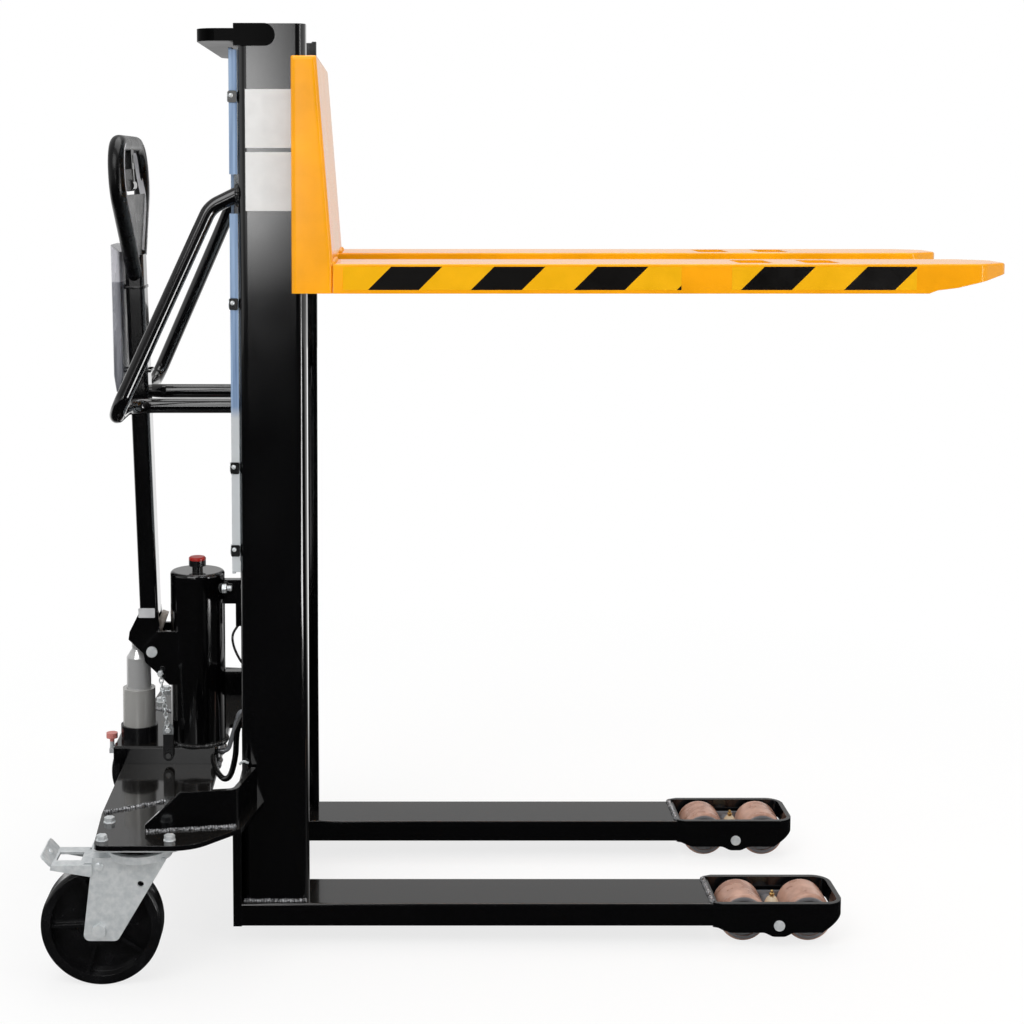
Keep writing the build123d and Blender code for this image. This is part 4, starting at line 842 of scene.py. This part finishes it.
@dataclass
class DocumentPouch:
    """Soft pouch with the papers of the truck, tied to the back of the handle's shaft."""

    foot: Point = (-687.5, 0.0, 898.0)
    head: Point = (-690.5, 0.0, 1149.0)
    half_width: float = 56.0
    half_depth: float = 9.0
    slant: float = 0.7
    rows: int = 70
    columns: int = 72
    ties: tuple[Triple, ...] = ((-683.0, -635.9, 930.0), (-684.0, -644.3, 1075.0))
    tie_half: float = 27.8
    tie_band: Triple = (4.5, 1.3, 0.4)

    def tie(self, shape: Shape, back: float, front: float, z: float) -> None:
        """Sweeps a flat band along a superellipse round shaft and pouch: (m + r |cos a|^0.25, w |sin a|^0.25)."""
        a = np.linspace(0.0, 2.0 * pi, 65)
        along = (back + front) / 2.0 + (front - back) / 2.0 * signed_power(np.cos(a), 0.25)
        ring = np.stack([along, self.tie_half * signed_power(np.sin(a), 0.25), z + 0.0 * a], -1)
        shape.sweep(ring, slab_outline(*self.tie_band), Z_AXIS)

    def build(self, film: Material, nylon: Material) -> None:
        """Makes the bag: flat superellipse rings along its length, closed at the foot, with a slanting mouth and folds.

        Ring point: (d * |cos a|^0.4 + fold, w * |sin a|^0.3) with signs, d = half depth * min(1, 0.35 + 6h)^0.7,
        fold = 0.5 * sin(5a + 2h) * sin(pi h).
        """
        h = np.linspace(0.0, 1.0, self.rows)[:, None]
        a = np.linspace(0.0, 2.0 * pi, self.columns, endpoint=False)[None]
        depth = self.half_depth * np.minimum(1.0, 0.35 + 6.0 * h) ** 0.7
        fold = 0.5 * np.sin(5.0 * a + 2.0 * h) * np.sin(pi * h)
        across = self.half_width * signed_power(np.sin(a), 0.3) + 0.0 * h
        out = depth * signed_power(np.cos(a), 0.4) + fold
        line = np.array(self.foot) + h * np.subtract(self.head, self.foot)
        mouth = -self.slant * (out + self.half_depth) * h ** 12
        points = np.stack([line[:, :1] + out, across, line[:, 2:] + mouth], -1)
        bag, bands = Shape(), Shape()
        bag.add(points.reshape(-1, 3), grid_faces(self.rows, self.columns))
        piece = bag.put("document_pouch", film, "pump_handle")
        for back, front, z in self.ties:
            self.tie(bands, back, front, z)
        bands.put("pouch_ties", nylon, "pump_handle")


@dataclass
class PumpFittings:
    """Small fittings of the pump: a union on the tank, a bracket below the upper stay, two bent tubes and a clamp."""

    union: Point = (-517.0, -17.0, 547.0)
    hexagon: Outline = ((7.5, 0.0), (8.5, 1.0), (8.5, 8.0), (7.5, 9.0))
    nose: Outline = ((4.8, 8.0), (4.8, 17.0), (3.6, 18.0))
    bracket: Run = ((-487.0, 0.0, 477.0), (-487.0, 0.0, 518.0))
    bracket_bar: Triple = (14.0, 14.0, 2.5)
    clamp: Path = ((-470.0, -239.6, 304.0), (-463.0, -240.4, 309.0), (-455.0, -239.6, 306.0))
    clamp_bar: Triple = (4.0, 2.4, 1.0)
    thin_tube: Path = (
        (-487.0, -4.0, 482.0), (-499.0, -6.0, 462.0), (-497.0, -8.0, 440.0), (-485.0, -9.0, 415.0),
        (-466.0, -9.0, 392.0))
    thick_tube: Path = (
        (-464.0, -150.0, 372.0), (-480.0, -150.0, 335.0), (-484.0, -150.0, 290.0), (-492.0, -150.0, 258.0),
        (-503.0, -142.0, 247.0), (-517.0, -112.0, 247.0), (-528.0, -70.0, 252.0), (-532.0, -42.0, 254.0))
    thin: float = 2.2
    thick: float = 5.0

    def build(self, zinc: Material, black: Material) -> None:
        """Makes the bright fittings as one piece and the black ones as another."""
        bright, dark = Shape(), Shape()
        bright.turn(self.hexagon, self.union, X_AXIS, 6)
        bright.turn(self.nose, self.union, X_AXIS, 24)
        bright.sweep(smooth_path(self.clamp, 12), slab_outline(*self.clamp_bar), Z_AXIS)
        dark.bar(*self.bracket, slab_outline(*self.bracket_bar))
        for knots, radius in ((self.thin_tube, self.thin), (self.thick_tube, self.thick)):
            dark.sweep(smooth_path(knots, 60), round_outline(radius, 14), (0.0, 0.3, 1.0))
        bright.put("pump_unions", zinc, "mast", Slot.ZINC_PLATE)
        dark.put("pump_tubes", black, "mast", Slot.BLACK_PAINT)


@dataclass
class PullChain:
    """Small chain that pulls the release lever: oval links, each turned a quarter against the next."""

    foot: Point = (-609.0, -56.0, 305.0)
    head: Point = (-622.0, -50.0, 404.0)
    reaches: Pair = (4.0, 15.0)
    shank: float = 3.0
    bolt_head: Outline = ((5.5, 0.0), (5.5, 4.0), (4.5, 5.0))
    pitch: float = 7.6
    half_wide: float = 3.4
    wire: float = 1.2

    def build(self, steel: Material) -> None:
        """Sweeps a round wire along an ellipse per link: c + (p / 2 + w) cos a * d + h sin a * n; adds both bolts."""
        chain = Shape()
        run = np.subtract(self.head, self.foot)
        d = run / np.linalg.norm(run)
        a = np.linspace(0.0, 2.0 * pi, 17)[:, None]
        sides = [np.cross(d, X_AXIS), np.cross(d, np.cross(d, X_AXIS))]
        for number in range(int(np.linalg.norm(run) / self.pitch)):
            n, flat = sides[number % 2], sides[(number + 1) % 2]
            middle = np.array(self.foot) + d * self.pitch * (number + 0.5)
            ring = middle + (self.pitch / 2.0 + self.wire) * np.cos(a) * d + self.half_wide * np.sin(a) * n
            chain.sweep(ring, round_outline(self.wire, 6), tuple(flat))
        for end, reach in zip((self.foot, self.head), self.reaches):
            chain.turn(((self.shank, -reach), (self.shank, 0.0), *self.bolt_head), end, (0.0, -1.0, 0.0), 6)
        piece = chain.put("release_pull_chain", steel, slot=Slot.ZINC_PLATE)
        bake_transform(piece)


@dataclass
class HandleTrim:
    """Blank plate and latch on the foot of the shaft, and pale strips and lines on the grip's rims that are painted
    highlights, along the inner faces and the parting line of its two shells.
    """

    foot: Point = (-661.818, 0.0, 1087.58)
    lean: float = 3.3
    leg: Pair = (10.0, 0.0)
    leg_share: float = 0.3
    shoulder: Pair = (150.0, 150.0)
    top: float = 234.0
    top_turn: float = 75.0
    bends: Pair = (60.0, 55.0)
    tube: float = 13.5
    lip: float = 9.0
    lip_end: float = 195.0
    lip_run: float = 90.0
    sunk: float = 2.0
    ribbon: Triple = (10.0, 1.2, 0.4)
    ribbon_tilt: float = 10.0
    ribbon_inward: float = 0.97
    seam: float = 1.3
    seam_forward: float = 0.99
    seam_inward: float = 0.05
    plate: Run = ((-647.5, -27.0, 505.5), (-647.5, -27.9, 505.5))
    plate_face: Triple = (29.0, 17.0, 2.0)
    latch: Run = ((-632.0, 0.0, 462.0), (-618.0, 0.0, 501.0))
    latch_bar: Triple = (12.0, 22.0, 2.5)
    latch_pin: Run = ((-629.0, -13.0, 474.0), (-629.0, 13.0, 474.0))
    latch_pin_radius: float = 4.0

    def rim(self) -> tuple[Array, Array]:
        """Half of the grip's middle line, from leg to top: straight runs and the arcs c + R(-n cos f + d sin f).

        It starts at a share of the leg's run and ends a number of degrees round the upper bend.

        Returns:
            Rows of y and height above the foot, and the direction to the inside of the loop at each.
        """
        start, corner = np.array(self.leg), np.array(self.shoulder)
        d = (corner - start) / np.linalg.norm(corner - start)
        n = np.array([-d[1], d[0]])
        bend = np.arctan2(d[0], d[1])
        low = corner - d * self.bends[0] * np.tan(bend / 2.0)
        s = np.linspace(self.leg_share, 1.0, 12)[:, None]
        f = np.linspace(0.0, bend, 10)[:, None]
        g = np.linspace(0.0, radians(self.top_turn), 14)[:, None]
        up, left = np.array([0.0, 1.0]), np.array([-1.0, 0.0])
        second = np.array([corner[0], self.top - self.bends[1]])
        places = [start + s * (low - start), low + self.bends[0] * (n * (1.0 - np.cos(f)) + d * np.sin(f)),
                  second + self.bends[1] * (left * (1.0 - np.cos(g)) + up * np.sin(g))]
        inside = [n + 0.0 * s, n * np.cos(f) - d * np.sin(f), left * np.cos(g) - up * np.sin(g)]
        return np.concatenate(places), np.concatenate(inside)

    def build(self, pale: Material, card: Material, copper: Material) -> None:
        """Makes the grip's painted highlight strips, the plate and the latch; the strip comes forward by lip * (3f^2 -
        2f^3).
        """
        c, s = np.cos(radians(self.lean)), np.sin(radians(self.lean))
        up, forward = np.array([-s, 0.0, c]), np.array([c, 0.0, s])
        middle, inside = self.rim()
        fade = np.clip((self.lip_end - middle[:, 1:]) / self.lip_run, 0.0, 1.0)
        rise = self.lip * fade * fade * (3.0 - 2.0 * fade) - self.sunk
        painted_highlight, plate, latch = Shape(), Shape(), Shape()
        for side in (-1.0, 1.0):
            axes = np.stack([np.array([0.0, side, 0.0]), up])
            line, inward = np.array(self.foot) + middle @ axes, inside @ axes
            # painted highlight: pale strip on each rim's inner face, where the round tube shows a bright reflection
            ribbon = line + self.ribbon_inward * self.tube * inward + rise * forward
            # painted highlight: pale line along the tube's front, on the shells' parting line
            seam = line + self.tube * (self.seam_forward * forward + self.seam_inward * inward)
            painted_highlight.sweep(ribbon, slab_outline(*self.ribbon, self.ribbon_tilt * side), tuple(forward))
            painted_highlight.sweep(seam, round_outline(self.seam, 8), tuple(forward))
        plate.bar(*self.plate, slab_outline(*self.plate_face))
        latch.sweep(straight(*self.latch, 8), slab_outline(*self.latch_bar), X_AXIS)
        latch.bar(*self.latch_pin, round_outline(self.latch_pin_radius, 16))
        painted_highlight.put("grip_painted_highlights", pale, "pump_handle")
        plate.put("shaft_plate", card, "pump_handle", smooth=False)
        latch.put("shaft_latch", copper, "pump_handle")


@dataclass
class GuardClips:
    """Black clips that hold the turned edges of the guard at its bolts."""

    heights: tuple[float, ...] = (658.0, 794.0, 1061.0, 1393.0)
    outer_y: float = 231.5
    thickness: float = 6.0
    back_x: float = -481.5
    front_x: float = -467.2
    height: float = 19.0
    corner: float = 2.5
    screw_shift: float = 2.0
    dome: Outline = ((3.6, 0.0), (3.6, 1.0), (2.6, 2.0), (1.0, 2.4))

    def build(self, plastic: Material, zinc: Material) -> None:
        """Makes one clip with its screw head at each height on both sides."""
        clips, heads = Shape(), Shape()
        middle = (self.back_x + self.front_x) / 2.0
        outline = slab_outline(self.front_x - self.back_x, self.height, self.corner)
        for z in self.heights:
            for side in (-1.0, 1.0):
                outer = side * self.outer_y
                clips.bar((middle, outer - side * self.thickness, z), (middle, outer, z), outline)
                spot = (middle - self.screw_shift, outer, z + self.screw_shift)
                heads.turn(self.dome, spot, (0.0, side, 0.0), 20)
        clips.put("guard_clips", plastic, "mast")
        heads.put("guard_screws", zinc, "mast", Slot.ZINC_PLATE)


@dataclass
class CasterTrim:
    """Dust seals of the swivel races, the rivet of the brake pedal's pin and washers under the caster bolts."""

    centre: Pair = (-617.0, 376.0)
    seal: Outline = ((42.3, 218.4), (45.6, 219.0), (46.4, 222.5), (45.6, 226.0), (42.3, 226.6))
    bolts: Pair = (105.0, 80.0)
    wing_top: float = 241.0
    rivet: Point = (-675.5, -411.0, 196.5)
    washer: Outline = ((9.6, 0.0), (9.6, 1.2), (9.0, 1.7), (6.0, 1.7))
    rivet_head: Outline = ((7.0, 0.0), (7.0, 1.2), (5.5, 2.8), (3.0, 3.4))

    def build(self, rubber: Material, zinc: Material) -> None:
        """Makes the seals as one piece, the washers as another, and the rivet on the right yoke."""
        seals, washers, rivet = Shape(), Shape(), Shape()
        for side in (-1.0, 1.0):
            x, y = self.centre[0], side * self.centre[1]
            seals.turn(self.seal, (x, y, 0.0), Z_AXIS, 64)
            for along in (-0.5, 0.5):
                for across in (-0.5, 0.5):
                    spot = (x + along * self.bolts[0], y + across * self.bolts[1], self.wing_top)
                    washers.turn(self.washer, spot, Z_AXIS, 28)
        rivet.turn(self.rivet_head, self.rivet, (0.0, -1.0, 0.0), 24)
        seals.put("swivel_seals", rubber, "mast")
        washers.put("caster_washers", zinc, "mast", Slot.ZINC_PLATE)
        rivet.put("pedal_rivet", zinc, "caster_right", Slot.ZINC_PLATE)


@dataclass
class BrakePedal:
    """Pressed pedal of the right caster, in place of the plain one: slotted tread, short lip, side plates and arms."""

    pivot: Point = (-675.5, -376.0, 196.5)
    wall: float = 4.0
    half_tread: float = 39.5
    half_arm: float = 29.5
    half_slot: float = 18.0
    back: float = -749.5
    slot: Pair = (-744.5, -706.0)
    front: float = -699.5
    arm_end: float = -667.5
    cheek: Outline = ((-751.5, 192.5), (-749.5, 200.5), (-686.0, 200.5), (-686.0, 183.5), (-690.0, 182.0))
    arm: Outline = ((-707.5, 181.5), (-707.5, 196.5), (-667.5, 196.5), (-667.5, 192.5), (-691.5, 192.5),
                    (-703.5, 181.5))
    lip: Pair = (15.0, 16.0)
    lip_overlap: float = 2.0
    lip_corner: float = 6.0
    stud: Outline = ((5.5, 1.8), (5.5, 3.2), (4.0, 4.4), (1.5, 4.8))
    pin: Outline = ((4.0, -30.5), (4.0, 30.5))

    def plate(self, shape: Shape, outline: Outline, low: float, high: float) -> None:
        """Sweeps an outline of x, z rows, clockwise from the right, across Y from low to high off the middle."""
        y = self.pivot[1]
        shape.bar((0.0, y + low, 0.0), (0.0, y + high, 0.0), np.array(outline) * (1.0, -1.0))

    def build(self, zinc: Material) -> None:
        """Makes the pedal as one pressing."""
        pedal = Shape()
        _, y, low = self.pivot
        top, half, inner = low + self.wall, self.half_tread, self.half_tread - self.wall
        for start, end, across in ((self.back, self.slot[0], inner), (self.slot[1], self.front, inner),
                                   (self.front, self.arm_end, self.half_arm)):
            self.plate(pedal, ((start, low), (start, top), (end, top), (end, low)), -across, across)
        tread = ((self.slot[0], low), (self.slot[0], top), (self.slot[1], top), (self.slot[1], low))
        for side in (-1.0, 1.0):
            for outline, near, far in ((tread, self.half_slot, inner), (self.cheek, inner, half),
                                       (self.arm, self.half_arm - self.wall, self.half_arm)):
                self.plate(pedal, outline, *sorted((side * near, side * far)))
        run, rise = self.lip
        length = float(np.hypot(run, rise))
        out = np.array([rise, 0.0, run]) / length
        middle = np.array([self.back - run / 2.0, y, low + self.wall / 2.0 + rise / 2.0])
        lip_face = slab_outline(2.0 * half, length + self.lip_overlap, self.lip_corner)
        depth = self.wall / 2.0 * out
        pedal.bar(tuple(middle - depth), tuple(middle + depth), lip_face, Y_AXIS)
        pedal.turn(self.stud, tuple(middle), tuple(out), 20)
        pedal.turn(self.pin, self.pivot, Y_AXIS, 24)
        piece = pedal.put("brake_pedal_pressing", zinc, "brake_pedal")
        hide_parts("brake_pedal")


@dataclass
class BogieTrim:
    """Cream spacer and grease nipple on the middle of each bogie."""

    x: float = 418.0
    y: float = 195.0
    pin_z: float = 38.0
    cone: Outline = ((12.6, 9.0), (12.6, 13.0), (9.5, 20.0), (6.5, 24.0), (3.0, 24.6))
    nipple: Outline = (
        (3.2, 24.0), (3.2, 27.0), (4.6, 27.6), (4.6, 30.0), (2.4, 31.0), (2.2, 32.4), (3.0, 34.0), (1.5, 35.5))

    def build(self, cream: Material, brass: Material) -> None:
        """Makes a spacer and a nipple for each side; both stand on the sleeve of the bogie pin."""
        for side, name in SIDES:
            for profile, label, material in ((self.cone, "bogie_spacer", cream),
                                             (self.nipple, "grease_nipple", brass)):
                piece = Shape()
                piece.turn(profile, (self.x, side * self.y, self.pin_z), Z_AXIS, 28)
                piece.put(f"{label}_{name}", material, f"bogie_{name}")


@dataclass(frozen=True)
class Softbox:
    """A rectangular lamp that faces a point; lengths in metres, power in watts."""

    name: str
    place: Point
    target: Point
    width: float
    height: float
    power: float

    def build(self) -> None:
        """Adds the lamp to the scene."""
        light = bpy.data.lights.new(self.name, "AREA")
        light.shape = "RECTANGLE"
        light.size, light.size_y = self.width, self.height
        light.energy = self.power
        holder = bpy.data.objects.new(self.name, light)
        holder.location = self.place
        aim = Vector(self.target) - Vector(self.place)
        holder.rotation_euler = aim.to_track_quat("-Z", "Y").to_euler()
        bpy.context.scene.collection.objects.link(holder)


@dataclass
class Studio:
    """White sweep, soft lights and the camera of the photograph; lengths in metres.

    A ramp holds low, high, the value at low and the value at high. window holds the axes and ramps whose product is
    the bright window, walls goes from front to back, ceiling and soft go upwards.
    """

    floor_half: float = 10.0
    camera_place: Point = (-0.222, -3.22243, 1.28026)
    camera_pitch: float = 84.8
    lens: float = 65.475
    shift: Pair = (0.1188, -0.1709)
    sensor: Pair = (27.0, 36.0)
    sight: float = 200.0
    lamps: tuple[Softbox, ...] = (
        Softbox("key_softbox", (-1.6, -2.6, 3.6), (-0.2, 0.0, 0.6), 2.4, 2.4, 60.0),
        Softbox("top_softbox", (0.3, 0.8, 4.2), (0.0, 0.0, 0.4), 3.2, 3.2, 70.0),
        Softbox("side_strip", (2.4, -2.2, 1.6), (-0.3, 0.0, 0.8), 0.25, 2.4, 15.0),
    )
    window: tuple[tuple[str, Ramp], ...] = (
        ("Z", (-0.068, -0.012, 0.0, 1.0)), ("Z", (-0.01, 0.12, 1.0, 0.3)), ("Y", (-0.7, -0.95, 0.0, 1.0)),
        ("X", (-0.135, -0.12, 0.15, 1.0)), ("X", (-0.075, -0.045, 9.0, 0.12)))
    walls: Ramp = (-0.92, -0.4, 0.005, 0.75)
    ceiling: Ramp = (0.1, 0.3, 1.0, 0.55)
    soft: Ramp = (-0.2, 0.8, 0.25, 0.75)

    def build(self) -> None:
        """Sets up floor, surroundings, lights and camera."""
        half = self.floor_half / MM
        floor = Shape()
        floor.add(np.array([(-half, -half, 0.0), (half, -half, 0.0), (half, half, 0.0), (-half, half, 0.0)]),
                  [np.array([[0, 1, 2, 3]])])
        floor.put("studio_floor", StudioFloor("studio paper").material(), smooth=False)
        self.surround()
        for lamp in self.lamps:
            lamp.build()
        scene = bpy.context.scene
        scene.view_settings.view_transform = "Standard"
        camera = bpy.data.cameras.new("photo_camera")
        camera.lens = self.lens
        camera.sensor_fit = "VERTICAL"
        camera.sensor_width, camera.sensor_height = self.sensor
        camera.shift_x, camera.shift_y = self.shift
        camera.clip_end = self.sight
        holder = bpy.data.objects.new("photo_camera", camera)
        holder.location = self.camera_place
        holder.rotation_euler = (radians(self.camera_pitch), 0.0, 0.0)
        scene.collection.objects.link(holder)
        scene.camera = holder
        LOG.info("studio: floor, surround, %d lamps and camera", len(self.lamps))

    def surround(self) -> None:
        """Makes the surroundings: white for the camera, an even grey for soft light, and a dark front for reflections.

        A reflection sees pale sides, back and ceiling, black in front, and there a long bright window at the horizon.
        """
        world = bpy.data.worlds.new("studio_surround")
        bpy.context.scene.world = world
        world.use_nodes = True
        graph = Graph(world.node_tree)
        graph.tree.nodes.clear()
        where = graph.parts(graph.add("ShaderNodeTexCoord")["Generated"])
        bright: Any = 1.0
        for axis, limits in self.window:
            bright = graph.math("MULTIPLY", bright, graph.ramp(where[axis], *limits))
        room = graph.math("MULTIPLY", graph.ramp(where["Y"], *self.walls), graph.ramp(where["Z"], *self.ceiling))
        rays = graph.add("ShaderNodeLightPath")
        direct = graph.math("MAXIMUM", rays["Is Camera Ray"], rays["Is Transmission Ray"])
        shown = graph.ramp(where["Z"], *self.soft)
        for kind, light in ((rays["Is Glossy Ray"], graph.math("MAXIMUM", room, bright)), (direct, 1.0)):
            shown = graph.add("ShaderNodeMix", {0: kind, 2: shown, 3: light}, data_type="FLOAT")[0]
        glow = graph.add("ShaderNodeBackground", {"Color": WHITE, "Strength": shown})[0]
        graph.add("ShaderNodeOutputWorld", {"Surface": glow})


def main() -> None:
    """Dresses the part and sets up the studio."""
    logging.basicConfig(level=logging.INFO, format="%(message)s")
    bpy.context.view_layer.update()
    made = CadFinishes(frame["nodes"]).dress()
    black, plastic, zinc = made[Slot.BLACK_PAINT], made[Slot.BLACK_PLASTIC], made[Slot.ZINC_PLATE]
    # painted glints: light grey patches in the dark weld stand in for the sparkle of its ripples
    weld = PlatedSteel("weld with painted glints", "#141415", "#B4B5B8", 0.2, 4.0, metallic=0.35)
    HazardTape().build(HazardVinyl("hazard tape").material())
    WeldBeads().build(weld.material(), black, made[Slot.YELLOW_PAINT])
    LeafChains().build(made[Slot.CHAIN_STEEL])
    PostLabels().build(MouldedPlastic("white label film", "#DFDFDE", "#E6E6E5", 0.4).material())
    DocumentPouch().build(PouchFilm("grey pouch film").material(), plastic)
    PumpFittings().build(zinc, black)
    PullChain().build(zinc)
    # grey film for the grip's painted highlight strips and lines
    HandleTrim().build(MouldedPlastic("grey painted grip highlight", "#B4B4B8", "#C6C6CA", 0.3).material(),
                       MouldedPlastic("silver foil plate", "#B9BABC", "#CACBCD", 0.35).material(),
                       PlatedSteel("copper-washed latch", "#A5978C", "#D2C9C1", 0.35, metallic=0.4).material())
    GuardClips().build(plastic, zinc)
    CasterTrim().build(plastic, zinc)
    BrakePedal().build(zinc)
    BogieTrim().build(MouldedPlastic("cream nylon", "#C9B79A", "#D8C8AE", 0.4).material(),
                      PlatedSteel("brass nipple", "#B99A5E", "#D2B987", 0.25).material())
    Studio().build()


if __name__ == "__main__":
    main()
